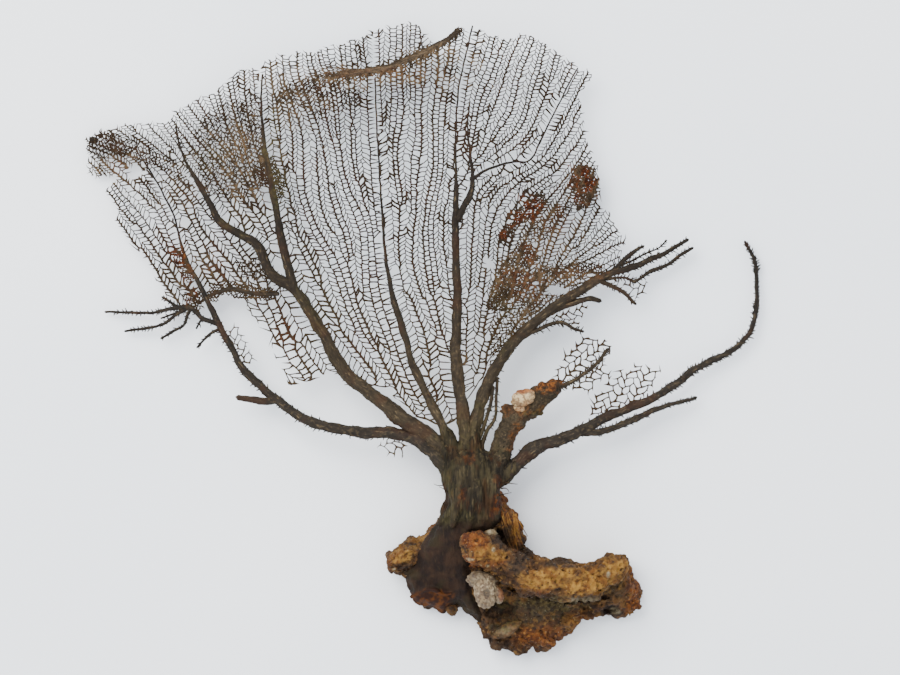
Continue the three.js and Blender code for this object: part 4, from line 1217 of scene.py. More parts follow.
# The fan's pieces
# Denser net where crust has gathered or the sheet has folded over itself:
# limb, outline, direction, cell size, half width
thickets = [
    ("right_limb", [(89, 100), (96, 104), (104, 101), (105, 88), (100, 79), (93, 76), (90, 88)], 70, 0.5,
        0.5),
    ("right_limb", [(72, 88), (75, 82), (66, 71), (57, 67), (54, 60), (47, 56), (45, 61), (51, 69),
        (58, 77), (66, 85)], 50, 0.55, 0.42),
    ("right_limb", [(60, 66), (72, 72), (88, 84), (90, 76), (78, 62), (66, 54), (56, 52)], 50, 0.75, 0.3),
    ("right_limb", [(56, 56), (66, 55), (70, 47), (60, 38), (51, 28), (44, 15), (37, 17), (41, 30),
        (48, 44)], 60, 0.5, 0.4),
    ("right_limb", [(42, 24), (56, 34), (70, 42), (88, 45), (109, 45), (108, 39), (90, 37), (76, 36),
        (62, 30), (48, 15)], 25, 0.55, 0.36),
    ("right_limb", [(58, 14), (66, 30), (78, 40), (92, 42), (103, 40), (101, 34), (86, 25), (73, 15),
        (61, 3)], 40, 0.85, 0.3),
    ("right_limb", [(39, -16), (47, 0), (60, 13), (63, 5), (53, -7), (42, -24)], 50, 0.9, 0.3),
    ("right_limb", [(44, 18), (58, 26), (70, 29), (72, 20), (60, 8), (48, -8), (40, -14), (40, 6)], 50, 0.8,
        0.3),
    ("inner_left_limb", [(-84, 141), (-57, 149), (-34, 153), (-34, 161), (-57, 158), (-86, 149)], 100, 0.62,
        0.32),
    ("centre_limb", [(-34, 154), (-21, 155.5), (2, 165), (26, 181), (22, 186), (0, 175), (-22, 164),
        (-34, 162)], 100, 0.55, 0.38),
    ("big_left_limb", [(-136, 88), (-150, 97), (-168, 106), (-186, 111), (-201, 115), (-204, 121),
        (-190, 124), (-172, 117), (-150, 108)],
     160, 0.7, 0.34),
    ("big_left_limb", [(-129, 31), (-118, 34), (-100, 31), (-88, 30), (-88, 23), (-104, 22), (-118, 24),
        (-131, 20)], 0, 0.6, 0.42),
    ("big_left_limb", [(-113, 46), (-100, 47), (-90, 41), (-92, 33), (-108, 35)], 130, 0.7, 0.34),
    ("far_left_limb", [(-152, 54), (-144, 54), (-140, 44), (-135, 36), (-141, 33), (-149, 44)], 140, 0.62,
        0.4),
    ("far_left_limb", [(-145, 27), (-136, 31), (-130, 23), (-134, 15), (-142, 17)], 120, 0.6, 0.38),
    ("left_fork", [(-97, 136), (-92, 108), (-87, 90), (-98, 91), (-97, 112)], 100, 0.5, 0.32),
    ("left_fork", [(-203, 116), (-196, 123), (-188, 124), (-180, 119), (-178, 112), (-190, 108),
        (-202, 108)], 160, 0.85, 0.3),
    ("inner_left_limb", [(-98, 110), (-92, 112), (-82, 92), (-82, 84), (-87, 80), (-91, 92)], 100, 0.5, 0.4),
    ("inner_left_limb", [(-90, 142), (-60, 132), (-36, 138), (-34, 150), (-57, 147), (-84, 148)], 95, 0.85,
        0.3),
]


def placed(name, bodies, material, slot, *nodes):
    points, faces = together(bodies)
    obj = meshObject(name, points, faces, material)
    stained(obj, points)
    along = [body[2] if len(body) > 2 else np.asarray(body[0], float).reshape(-1, 3) for body in bodies]
    obj.data.attributes.new("grain", "FLOAT_VECTOR", "POINT").data.foreach_set("vector",
        np.vstack(along).ravel())
    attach(obj, "root")
    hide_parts(*nodes)
    triangles = sum(len(face) - 2 for face in faces)
    print("piece:", name, triangles, "triangles")
    return obj


def leftForkLift(points):
    plan = points[:, :2]
    away = np.full(len(plan), 1e9)
    route = np.array(leftFork)[:, :2]
    for a, b in zip(route[:-1], route[1:]):
        way = b - a
        t = np.clip(((plan - a) @ way) / (way @ way), 0, 1)
        away = np.minimum(away, np.linalg.norm(plan - a - t[:, None] * way, axis=1))
    return -sheetSettings["flapSag"] * smooth(0, sheetSettings["flapSpread"], away)


nets = sheetNet()
nets["left_fork"].append(patchNet(flapOutline, 100, 0.95, 0.3, lift=leftForkLift))
for limb, outline, direction, size, half in thickets:
    nets[limb].append(patchNet(outline, direction, size, half, lift=0.7))
nets["right_limb"] += [patchNet(ladderScrap, 20, 1.3, 0.36, 3), patchNet(tipScrap, 20, 1.4, 0.34, 3)]
nets["far_left_limb"] += [patchNet(limbScraps[0], 120, 1.4, 0.33, 3),
    patchNet(limbScraps[1], 200, 1.6, 0.36, 3)]
nets["lower_right_limb"] = [patchNet(lowerScrap, 62, 1.5, 0.42)]
nets["short_limb"] = [patchNet(upperScrap, 40, 1.45, 0.44)]

limbs = {
    "centre_limb": ([centreLimb, centreFork, centreBranch], limbHorn),
    "big_left_limb": ([bigLeftLimb[:10] + bigLeftEnd, leftCrossBranch], limbHorn),
    "left_fork": ([leftFork[:-1] + [leftForkEnd]], limbHorn),
    "inner_left_limb": ([innerLeftLimb[:-1]], limbHorn),
    "right_limb": (
        [rightLimb, rightUpperTip, rightLowerTip, rightLink, rightStrand, rightTwig, innerRib, eastBranch,
            eastTwig, *innerStrands], limbHorn,
    ),
    "far_left_limb": ([farLeftLimb, brokenStub, *bareTwigs], darkHorn),
    "lower_right_limb": ([lowerRightLimb, lowerRightFork], darkHorn),
}
tipKnobs = [pebble((-199, 119.5, 5), (2.6, 2.2, 2.0), 0.6), pebble((-195, 122, 5.5), (1.6, 1.2, 1.2), 0.6)]
limbBarbs = {
    "far_left_limb": [
        *barbs(farLeftLimb, 2.4, 1.7, 0.12, 0.62, sides=(1,), root=0.5),
        *barbs(farLeftLimb, 4.2, 1.3, 0.12, 0.62, sides=(-1,), root=0.5),
        *(each for twig in bareTwigs for each in barbs(twig, 2.2, 1.6, 0.1, 0.95, root=0.42)),
    ],
    "big_left_limb": barbs(bigLeftLimb[:10] + bigLeftEnd, 3.5, 2.0, 0.3, 0.98, root=0.42),
    "left_fork": [],
    "inner_left_limb": barbs(innerLeftLimb, 4.5, 2.2, 0.1, 0.7, root=0.35),
    "centre_limb": barbs(centreLimb, 4.5, 2.2, 0.2, 0.9, root=0.35),
    "right_limb": [
        *barbs(rightLimb, 2.0, 1.8, 0.55, 1.0, root=0.45),
        *barbs(rightLimb, 3.8, 1.6, 0.1, 0.55, sides=(-1,), root=0.45),
        *barbs(rightUpperTip, 1.9, 1.5, 0.1, 1.0, root=0.4),
        *barbs(rightLowerTip, 1.9, 1.8, 0.1, 1.0, root=0.4),
        *barbs(rightTwig, 2.2, 1.6, 0.1, 1.0, root=0.4),
        *barbs(rightLink, 1.8, 2.6, 0.3, 1.0, root=0.4),
        *barbs(rightStrand, 2.0, 2.0, 0.2, 1.0, root=0.36),
        *barbs(eastTwig, 2.0, 2.4, 0.2, 1.0, root=0.4),
        *(each for strand in innerStrands for each in barbs(strand, 2.4, 2.0, root=0.35)),
    ],
    "lower_right_limb": [
        *barbs(lowerRightLimb, 4.0, 1.4, 0.08, 0.5, root=0.6),
        *barbs(lowerRightLimb, 1.3, 1.9, 0.5, 1.0, root=0.5, split=0.35),
        *barbs(lowerRightFork, 1.9, 1.6, 0.15, 1.0, root=0.48),
    ],
}
for name, (routes, horn) in limbs.items():
    extra = tipKnobs if name == "big_left_limb" else []
    placed(name + "_wood", [*(limbBody(route) for route in routes), *limbBarbs[name], *extra], horn, "bark",
        name)
    placed(name + "_net", nets[name], netHorn, "bark", name)
print("stage: limbs and net made")


# The stem, its foot and the limbs' roots
stemSettings = {"voxel": 0.7, "rootReach": 24, "fluting": 1.0, "fibre": 0.42, "footTop": -107,
    "footEnd": -114}

# Where each limb's root runs on down the stem: x, y, z, radius
rootLines = [
    (farLeftLimb, [(21, -94, 36, 3.8), (17, -103, 36, 2.9), (10, -111, 33, 1.6)]),
    (bigLeftLimb, [(21, -92, 38, 4.8), (21, -102, 39, 3.6), (18, -112, 37, 2.0)]),
    (innerLeftLimb, [(22, -80, 37, 3.6), (24, -96, 39, 3.0), (24, -108, 39, 1.8)]),
    (centreLimb, [(28, -92, 39, 4.6), (29, -104, 39, 3.4), (28, -114, 37, 2.0)]),
    (rightLimb, [(33, -90, 39, 4.2), (34, -101, 39, 3.2), (35, -112, 37, 1.8)]),
    (shortLimb, [(42, -88, 36, 4.2), (41, -98, 37, 3.2), (40, -108, 35, 1.8)]),
    (lowerRightLimb, [(38, -94, 34, 4.0), (36, -103, 34, 3.0), (34, -112, 33, 1.8)]),
]

# The foot, a smooth dark crust that spreads over the rock: its outline, and heights as x, y, z
footOutline = [
    (13.5, -103), (9, -110), (2, -119), (-2.5, -128), (-4.1, -136.9), (-11.6, -141.2), (-9.4, -149.8),
        (-5.1, -159.4),
    (2.4, -162.1), (9, -164.5), (12, -167.5), (15.7, -163.7), (20.6, -159.4), (24.9, -164.8), (28.1, -166.9),
    (34.5, -172.3), (37.7, -166.9), (34.5, -158.4), (30.2, -149.8), (29.1, -136.9), (30.2, -126.2),
    (34.5, -117.6), (43.1, -113.4), (47, -103),
]
footHeights = [
    (16, -104, 37), (30, -104, 39), (44, -104, 36), (40, -112, 35), (6, -115, 33), (20, -118, 37),
        (30, -126, 35),
    (0, -128, 29), (14, -133, 33), (27, -140, 31), (-7, -141, 25), (3, -145, 27), (17, -147, 28),
        (31, -152, 25),
    (-5, -152, 22), (5, -158, 19), (19, -157, 21), (30, -163, 19), (12, -165, 15), (35, -170, 16),
]
footLip = [(-7, -156, 20, 1.3), (0, -151.5, 23.5, 1.5), (7, -151, 25.5, 1.5), (12, -154, 24.5, 1.2),
    (18, -153.5, 25, 0.8)]


def flattened(rows, spacing, sides, shape=None):
    made = spline(rows, spacing)
    return tube(made[:, :3], made[:, 3], sides, shape, flat=(made[:, 4] / made[:, 3])[:, None])


# A closed plate between two height functions, with a ragged outline
def slab(outline, topAt, bottomAt, pitch, ragged):
    corners = np.array(outline, float)
    low, high = corners.min(0) - 5, corners.max(0) + 5
    xs, ys = np.arange(low[0], high[0], pitch), np.arange(low[1], high[1], pitch)
    n, m = len(xs), len(ys)
    plan = np.array(np.meshgrid(xs, ys, indexing="ij")).reshape(2, -1).T
    spots = np.column_stack([plan, np.zeros(len(plan))])
    away = outsideBy(plan, outline) + ragged * (octaves(spots, 5, 2) + 0.6 * np.abs(grain(spots / 2.1)))
    grid = away.reshape(n, m)
    solid = np.zeros((n + 1, m + 1), bool)
    solid[1:n, 1:m] = (grid[:-1, :-1] + grid[1:, :-1] + grid[1:, 1:] + grid[:-1, 1:]) < 0
    top = np.column_stack([plan, topAt(plan, away)])
    bottom = np.column_stack([plan, np.minimum(bottomAt(plan, away), top[:, 2] - 1.5)])
    faces = []
    count = n * m
    for i, j in np.argwhere(solid):
        ids = [(i - 1) * m + j - 1, i * m + j - 1, i * m + j, (i - 1) * m + j]
        faces.append(tuple(ids))
        faces.append(tuple(k + count for k in reversed(ids)))
        for side, (di, dj) in enumerate(((0, -1), (1, 0), (0, 1), (-1, 0))):
            if not solid[i + di, j + dj]:
                a, b = ids[side], ids[(side + 1) % 4]
                faces.append((b, a, a + count, b + count))
    return np.vstack([top, bottom]), faces


def footTop(plan, away):
    high = blended(footHeights, plan[:, 0], plan[:, 1], 8)
    return high - 5 * (1 - smooth(0, 5, -away))


def footBottom(plan, away):
    return blended(footHeights, plan[:, 0], plan[:, 1], 8) - 13 + 5 * (1 - smooth(0, 5, -away))


def rootBody(route, line):
    points, radii = limbPath(route)
    length = np.concatenate([[0], np.cumsum(np.linalg.norm(np.diff(points, axis=0), axis=1))])
    near = length < stemSettings["rootReach"]
    fade = 0.7 - 1.3 * smooth(0.35, 1, length[near] / stemSettings["rootReach"])
    upper = np.column_stack([points[near], np.maximum(radii[near] + fade, 0.4)])[::-1]
    lower = spline(line, 1.5)
    rows = np.vstack([upper[:-2], spline([upper[-2], *lower[:1]], 1.5)[:-1], lower])
    return tube(rows[:, :3], rows[:, 3], 14)


def stemBody():
    lip = spline(footLip, 1.0)
    upright = [row for row in stem if row[1] > -118]
    bodies = [
        flattened(upright, 1.5, 40), slab(footOutline, footTop, footBottom, 0.9, 0.8),
        tube(lip[:, :3], lip[:, 3], 8), *(rootBody(route, line) for route, line in rootLines),
    ]
    points, faces = remeshed(*together(bodies), stemSettings["voxel"])
    points = relaxed(points, faces, 3)
    out = outward(points, faces)
    onStem = smooth(stemSettings["footEnd"], stemSettings["footTop"] + 4, points[:, 1])
    streak = octaves(points * (1, 0.2, 1), 3.2, 2)
    fibre = grain(points * (1.4, 0.2, 1.4))
    swell = octaves(points, 11, 3)
    small = octaves(points, 3, 2)
    move = (stemSettings["fluting"] * streak + stemSettings["fibre"] * fibre) * onStem
    move += 0.5 * swell * (1 - 0.5 * onStem) + (0.22 * small + 0.15 * streak) * (1 - onStem)
    # The third value is painted shade for the grooves: it grows where the skin sinks in
    return points + out * move[:, None], faces, smooth(0.1, -1.1, move)


# Loose strands of bark: foot, direction, length, radius
looseStrands = [
    ((13, -98, 33), (-0.5, -0.8, 0.2), 11, 0.35), ((13, -103, 32), (-0.7, -0.5, 0.1), 8, 0.3),
    ((14, -108, 32), (-0.9, -0.3, 0.2), 7, 0.3), ((47, -90, 34), (0.8, 0.3, 0.2), 8, 0.4),
    ((46, -100, 33), (0.7, -0.6, 0.1), 7, 0.35), ((46, -82, 34), (0.6, 0.8, 0.3), 7, 0.35),
    ((15, -92, 35), (-0.6, 0.6, 0.3), 7, 0.35), ((22, -70, 38), (-0.5, 0.8, 0.4), 6, 0.4),
    ((38, -74, 37), (0.3, 0.9, 0.4), 6, 0.4), ((44, -112, 35), (0.9, 0.1, 0.3), 9, 0.3),
    ((12, -88, 33), (-0.8, -0.2, 0.3), 6, 0.35), ((45, -94, 34), (0.95, 0.2, 0.3), 9, 0.45),
    ((12, -100, 32), (-0.2, -1.0, 0.1), 14, 0.3), ((48, -86, 33), (0.9, -0.2, 0.2), 10, 0.4),
]


def looseStrand(foot, way, reach, root):
    shares = np.linspace(0, 1, 9)
    curl = np.array([chance.gauss(0, 0.35) for _ in range(3)])
    points = np.array(foot) + np.outer(shares * reach,
        unit(np.array(way, float))) + np.outer(shares**2 * reach, curl)
    return tube(points, root * (1 - 0.7 * shares), 6)


def pointValues(obj, name, values):
    obj.data.attributes.new(name, "FLOAT", "POINT").data.foreach_set("value", np.asarray(values, float))


def stemMaterial():
    made, tree, surface = newMaterial("horn of the stem")
    rust, dust, moss = stainSockets(tree)
    foot = node(tree, "ShaderNodeAttribute", attribute_name="foot").outputs["Fac"]
    lip = node(tree, "ShaderNodeAttribute", attribute_name="lip").outputs["Fac"]
    hollowShade = node(tree, "ShaderNodeAttribute", attribute_name="hollowShade").outputs["Fac"]
    colour = mixed(tree, blotch(tree, 6, 0.42, 0.62, shift=0.3, along=0.35), paint(72, 63, 50),
        paint(108, 97, 76))
    colour = mixed(tree, blotch(tree, 4, 0.5, 0.66, shift=1.1, along=0.25), colour, paint(44, 37, 32))
    brown = maths(tree, "MULTIPLY", blotch(tree, 9, 0.5, 0.6, shift=2.0, along=0.4), 0.7)
    colour = mixed(tree, brown, colour, paint(104, 66, 38))
    mossy = mixed(tree, blotch(tree, 3, 0.4, 0.6, along=0.4), paint(66, 64, 36), paint(104, 100, 62))
    colour = mixed(tree, maths(tree, "MULTIPLY", moss, 0.6), colour, mossy)
    strands = maths(tree, "MULTIPLY", blotch(tree, 1.3, 0.5, 0.62, shift=4.4, along=0.12), 0.55)
    colour = mixed(tree, strands, colour, paint(34, 28, 22))
    lightStrands = maths(tree, "MULTIPLY", blotch(tree, 1.1, 0.58, 0.68, shift=7.4, along=0.12), 0.5)
    colour = mixed(tree, lightStrands, colour, paint(158, 140, 108))
    plate = mixed(tree, blotch(tree, 7, 0.36, 0.66, shift=3), paint(52, 36, 32), paint(84, 60, 48))
    plate = mixed(tree, maths(tree, "MULTIPLY", blotch(tree, 12, 0.5, 0.68, shift=6), 0.6), plate,
        paint(74, 66, 44))
    fibres = maths(tree, "MULTIPLY", blotch(tree, 1.6, 0.56, 0.7, shift=8, along=0.2), 0.35)
    plate = mixed(tree, fibres, plate, paint(112, 92, 66))
    colour = mixed(tree, foot, colour, plate)
    burnt = mixed(tree, blotch(tree, 4, 0.4, 0.6, shift=5), paint(74, 40, 26), paint(142, 84, 36))
    colour = mixed(tree, lip, colour, burnt)
    rusty = mixed(tree, blotch(tree, 2.4, 0.42, 0.6), paint(106, 48, 20), paint(170, 96, 36))
    colour = mixed(tree, maths(tree, "MULTIPLY", rust, blotch(tree, 4.0, 0.4, 0.56, shift=1.4)), colour,
        rusty)
    # Painted shade: darker where the skin sinks into grooves
    colour = mixed(tree, maths(tree, "MULTIPLY", hollowShade, 0.75), colour, paint(28, 21, 17))
    colour = mixed(tree, 1.0, colour, (0.24, 0.225, 0.17, 1), "MULTIPLY")
    tree.links.new(colour, surface.inputs["Base Color"])
    surface.inputs["Roughness"].default_value = 0.75
    surface.inputs["Specular IOR Level"].default_value = 0.14
    fine = relief(tree, 0.9, 0.7, 0.3, 0.14)
    coarse = relief(tree, 1.8, 0.9, 0.6, 0.25).outputs["Height"]
    both = node(tree, "ShaderNodeBump",
        {"Strength": 0.9, "Distance": 0.0007, "Height": coarse, "Normal": fine.outputs["Normal"]})
    tree.links.new(both.outputs[0], surface.inputs["Normal"])
    return made


stains["rust"] += [(27, -70, 4, 8, 0.5), (24, -93, 3, 7, 0.4), (44, -99, 3.5, 9, 0.8), (46, -88, 4, 7, 0.4)]
stains["moss"] += [(16, -84, 5, 16, 0.9), (22, -109, 14, 7, 0.8), (35, -82, 5, 10, 0.4)]
stemPoints, stemFaces, stemHollowShade = stemBody()
strandBodies = [looseStrand(*each) for each in looseStrands]
stemObject = placed("stem", [(stemPoints, stemFaces), *strandBodies], stemMaterial(), "bark", "stem_and_foot")
allStem = together([(stemPoints, stemFaces), *strandBodies])[0]
lipAway = outsideBy(allStem[:, :2],
    [(-9, -155), (0, -151), (7, -150), (19, -153.5), (14, -166), (9, -168), (-6, -162)])
# Painted shade for the stem's grooves, none on the loose strands
pointValues(stemObject, "hollowShade", np.pad(stemHollowShade, (0, len(allStem) - len(stemPoints))))
pointValues(stemObject, "foot", smooth(-105, -116, allStem[:, 1] + 5 * octaves(allStem, 8, 2)))
pointValues(stemObject, "lip", smooth(1.5, -1.5, lipAway + 1.5 * octaves(allStem, 5, 2)))
print("stage: stem made")

# The rock: its outline, its heights as x, y, z, and the high ridge as x, y, z, half width, half height
rockOutline = [
    (14.1, -105.9), (12, -107.5), (6.6, -112.3), (3.4, -115.5), (0.2, -120.9), (-6.2, -122.5),
        (-13.7, -124.6),
    (-17.5, -129.4), (-21.2, -131.6), (-19.6, -136.9), (-16.9, -141.7), (-12.1, -140.7), (-9.4, -147.6),
        (-6.2, -155.1),
    (-2.5, -159.4), (0.7, -162.1), (6.6, -164.2), (12, -167.8), (14.7, -164.2), (17.9, -162.1),
        (20.6, -159.4),
    (24.3, -164.2), (28.1, -166.4), (32.4, -170.1), (35, -175.5), (37.2, -180.9), (40.9, -185.7),
        (45.2, -188.6),
    (51.6, -188.9), (54.9, -189.4), (58.1, -191.6), (60.2, -188.9), (65.6, -186.7), (69.3, -189.6),
        (73.1, -188.9),
    (77.4, -187.8), (79, -184.1), (84.9, -183), (86.5, -179.8), (90.7, -176.6), (92.4, -171.2),
        (97.7, -168.5),
    (103.1, -168), (107.9, -166.4), (112.7, -167.5), (118.1, -168), (124.5, -166.4), (129.9, -164.2),
        (130.9, -159.4),
    (132.2, -154.1), (129.9, -148.7), (126.1, -145), (125.6, -140.1), (122.9, -135.9), (121.5, -130.5),
    (117.5, -130.3), (112.7, -132.6), (106.3, -134.2), (102, -136.4), (95.6, -138.2), (91.3, -135.9),
        (83.8, -133.2),
    (77.4, -134.6), (72, -133.7), (67.7, -132.6), (64.5, -128.4), (60.2, -126.7), (61.8, -123),
        (60.2, -117.6),
    (58.6, -111.2), (56.5, -105.9), (51.6, -101.6), (49.5, -99.4), (48.4, -94.1), (44, -92),
]
rockHeights = [
    (-17, -134, 23), (-11, -129, 28), (-3, -123, 32), (4, -116, 34), (11, -109, 35), (-14, -139, 20),
    (5, -138, 18), (8, -121, 20), (13, -115, 24), (0, -130, 18), (0, -150, 13), (12, -160, 10),
        (25, -150, 16), (50, -97, 27), (50, -106, 33), (56, -113, 32),
    (58, -124, 26), (46, -112, 32), (47, -120, 24), (40, -128, 30), (60, -139, 32), (90, -143, 31),
        (75, -134, 25),
    (95, -138, 25), (66, -130, 26), (110, -135, 28), (121, -133, 27), (128, -146, 24), (131, -158, 19),
    (118, -151, 29), (112, -160, 21), (121, -165, 17), (100, -166, 17), (60, -155, 25), (75, -158, 27),
        (88, -158, 27),
    (60, -165, 23), (75, -166, 24), (90, -168, 19), (44, -163, 12), (51, -165, 12), (37, -160, 15),
        (40, -176, 17),
    (45, -184, 14), (52, -175, 21), (58, -180, 18), (70, -178, 20), (80, -178, 18), (88, -174, 16),
        (60, -187, 12),
    (74, -186, 12), (50, -187, 12), (36, -150, 25), (33, -140, 28),
]
rockRidge = [
    (28, -122, 34, 5, 6), (32, -124, 39, 9.5, 11), (39, -127, 41, 9, 9.5), (46, -132, 38, 8.5, 9.5),
        (55, -138, 40, 9, 10),
    (64, -142, 41, 10, 10), (74, -144, 41, 10.5, 9.5), (84, -147, 38, 9.5, 9), (93, -147, 39, 10.5, 9.5),
        (102, -144, 37, 9, 8.5),
    (111, -139, 36, 8.5, 9), (120, -133, 32, 4, 5),
]
# Hollows: x, y, half width, half height, turn in degrees, depth
rockHollows = [
    (48, -119, 7, 4, -45, 9), (46, -164, 10, 5, 10, 7), (113.5, -163.5, 5, 3.5, 0, 9),
        (62, -152, 14, 2.6, -12, 5),
    (20, -158, 4, 5, 0, 3), (98, -156, 16, 2.4, 4, 4), (-13, -136, 8, 1.6, 20, 2),
]
rockSettings = {"voxel": 0.68, "crag": 1.7, "ridged": 1.35, "grit": 0.55, "pit": 1.0, "lumps": 120, "seed": 5}

# Spots of colour on the rock: x, y, half width, half height, strength
rockStains = {
    "rust": [
        (32, -121, 8, 8, 0.9), (42, -132, 9, 6, 0.6), (-17, -136, 5, 6, 0.5), (5, -113, 9, 4, 0.4),
        (72, -180, 26, 8, 0.75), (93, -172, 8, 8, 0.5), (127, -150, 6, 14, 0.9), (55, -112, 8, 14, 0.7),
        (66, -150, 9, 5, 0.6), (50, -97, 6, 8, 0.8), (118, -164, 12, 3, 0.6), (30, -132, 6, 6, 0.8),
    ],
    "ochre": [
        (78, -141, 14, 7, 0.9), (100, -145, 18, 8, 1), (66, -143, 10, 7, 0.7), (44, -127, 8, 5, 0.6),
        (115, -136, 9, 6, 0.9), (-14, -130, 8, 6, 0.7), (0, -120, 8, 5, 0.55), (34, -128, 5, 4, 0.8),
            (90, -172, 6, 5, 0.5),
    ],
    "pale": [
        (92, -156, 9, 2.5, 0.4), (41, -115.5, 4, 2, 0.8), (42, -125, 1, 1.6, 0.9), (39, -135, 1.2, 1.2, 0.8),
        (110, -140, 1, 2, 0.8), (-17, -139, 1.5, 1, 0.9), (29, -131, 2.4, 1.2, 0.6), (51, -176, 6, 3, 0.2),
        (116, -164, 3, 2, 0.6),
    ],
    # Dark crust, and also painted shade in the hollows and crevices and along the ridge's lower edge
    "darkToneAndShade": [
        (2, -160, 12, 6, 0.8), (-14, -142, 6, 5, 0.5),
        (56, -134, 7, 5, 0.9), (62, -128, 8, 3, 0.7), (82, -134, 12, 2.5, 0.8), (45, -185, 14, 6, 0.7),
        (40, -167, 8, 8, 0.7), (113.5, -163.5, 7, 5, 0.95), (48, -119, 7, 7, 0.9), (60, -153, 16, 3, 0.7),
        (100, -156, 14, 3, 0.7), (-12, -137, 8, 2, 0.8), (118, -150, 10, 8, 0.35), (64, -186, 14, 3, 0.5),
            (60, -165, 20, 5, 0.55), (84, -176, 14, 7, 0.4), (24, -172, 10, 10, 0.4),
    ],
    "olive": [
        (74, -160, 22, 8, 0.9), (46, -161, 9, 4, 0.9), (112, -148, 12, 8, 0.45), (50.5, -175.3, 12, 6, 1),
        (38, -130, 5, 3, 0.4), (8, -112, 6, 3, 0.5), (60, -170, 14, 4, 0.5),
    ],
}


def rockTop(plan, away):
    high = blended(rockHeights, plan[:, 0], plan[:, 1], 6)
    return 4 + (high - 4) * (0.5 + 0.5 * smooth(0, 5, -away))


def rockBottom(plan, away):
    return 5 * (1 - smooth(0, 5, -away))


def spotAt(points, spots, size=6):
    ragged = 0.7 * octaves(points + 31, size, 3)
    total = np.zeros(len(points))
    for cx, cy, rx, ry, strength in spots:
        away = np.sqrt(((points[:, 0] - cx) / rx) ** 2 + ((points[:, 1] - cy) / ry) ** 2) + ragged
        total = np.maximum(total, strength * (1 - smooth(0.5, 1.2, away)))
    return total


# Small angular lumps strewn over the rim and along the ridge
def rockLumps():
    draws = random.Random(rockSettings["seed"])
    rim = np.array(rockOutline)
    ridge = spline(rockRidge, 4.0)
    made = []
    for _ in range(rockSettings["lumps"]):
        size = draws.uniform(1.4, 3.4)
        if draws.random() < 0.55:
            k = draws.randrange(len(rim))
            share = draws.random()
            x, y = rim[k - 1] * share + rim[k] * (1 - share)
            x, y = x + (60 - x) * 0.05 + draws.gauss(0, 1.0), y + (-148 - y) * 0.09 + draws.gauss(0, 1.0)
            z = draws.uniform(9, 22)
        else:
            x, y, z, wide, tall = ridge[draws.randrange(len(ridge))]
            turn = draws.uniform(0, math.pi)
            x, y = x + draws.gauss(0, 1.5), y + wide * 0.95 * math.cos(turn)
            z += tall * 0.9 * math.sin(turn)
        made.append(pebble((x, y, z),
            (size * draws.uniform(0.8, 1.5), size * draws.uniform(0.7, 1.2), size), 0.8))
    return made


def rockBody():
    bodies = [slab(rockOutline, rockTop, rockBottom, 0.9, 1.5),
        flattened(rockRidge, 1.5, 32, barkShape(3.0)), *rockLumps()]
    points, faces = remeshed(*together(bodies), rockSettings["voxel"])
    points = relaxed(points, faces, 2)
    for x, y, rx, ry, turn, depth in rockHollows:
        angle = math.radians(turn)
        px, py = points[:, 0] - x, points[:, 1] - y
        u = (px * math.cos(angle) + py * math.sin(angle)) / rx
        v = (py * math.cos(angle) - px * math.sin(angle)) / ry
        points[:, 2] -= depth * (1 - smooth(0.2, 1.1, u * u + v * v)) * smooth(8, 18, points[:, 2])
    out = outward(points, faces)
    under = smooth(-0.2, -0.8, out[:, 2])
    folds = 0.45 - np.abs(octaves(points + 9, 6.5, 2))
    sharp = 0.4 - np.abs(octaves(points + 23, 3.0, 2))
    pits = smooth(0.5, 0.12, pocked(points, 3.6)) + 0.8 * smooth(0.45, 0.1, pocked(points + 5, 2.0))
    move = rockSettings["crag"] * octaves(points, 12, 3) + rockSettings["ridged"] * folds + 0.8 * sharp
    move += rockSettings["grit"] * octaves(points, 1.9, 2) - rockSettings["pit"] * pits
    # Painted shade for the folds and pits: it grows where the surface sinks in
    hollowShade = smooth(0.1, -1.9, rockSettings["ridged"] * folds + 0.8 * sharp + 0.4 * octaves(points, 1.9,
        2) - pits)
    points = points + out * (move * (1 - 0.7 * under))[:, None]
    points[:, 2] = np.maximum(points[:, 2], 0)
    return points, faces, hollowShade


# Golden straw-like fibres that hang over the right side, beside the stem
def straws():
    draws = random.Random(rockSettings["seed"] + 1)
    made = []
    for _ in range(34):
        x, y = draws.uniform(47, 56), draws.uniform(-115, -104)
        reach = draws.uniform(8, 16)
        lean = 0.28 + draws.gauss(0, 0.1)
        steps = np.linspace(0, 1, 8)
        plan = np.column_stack([x + lean * steps * reach + draws.gauss(0, 1.2) * steps**2, y - steps * reach])
        height = blended(rockHeights, plan[:, 0], plan[:, 1],
            6) + 3.0 + 0.8 * np.sin(steps * 3) + draws.gauss(0, 0.5)
        made.append(tube(np.column_stack([plan, height]), draws.uniform(0.3, 0.5) * (1 - 0.6 * steps), 5))
    return made


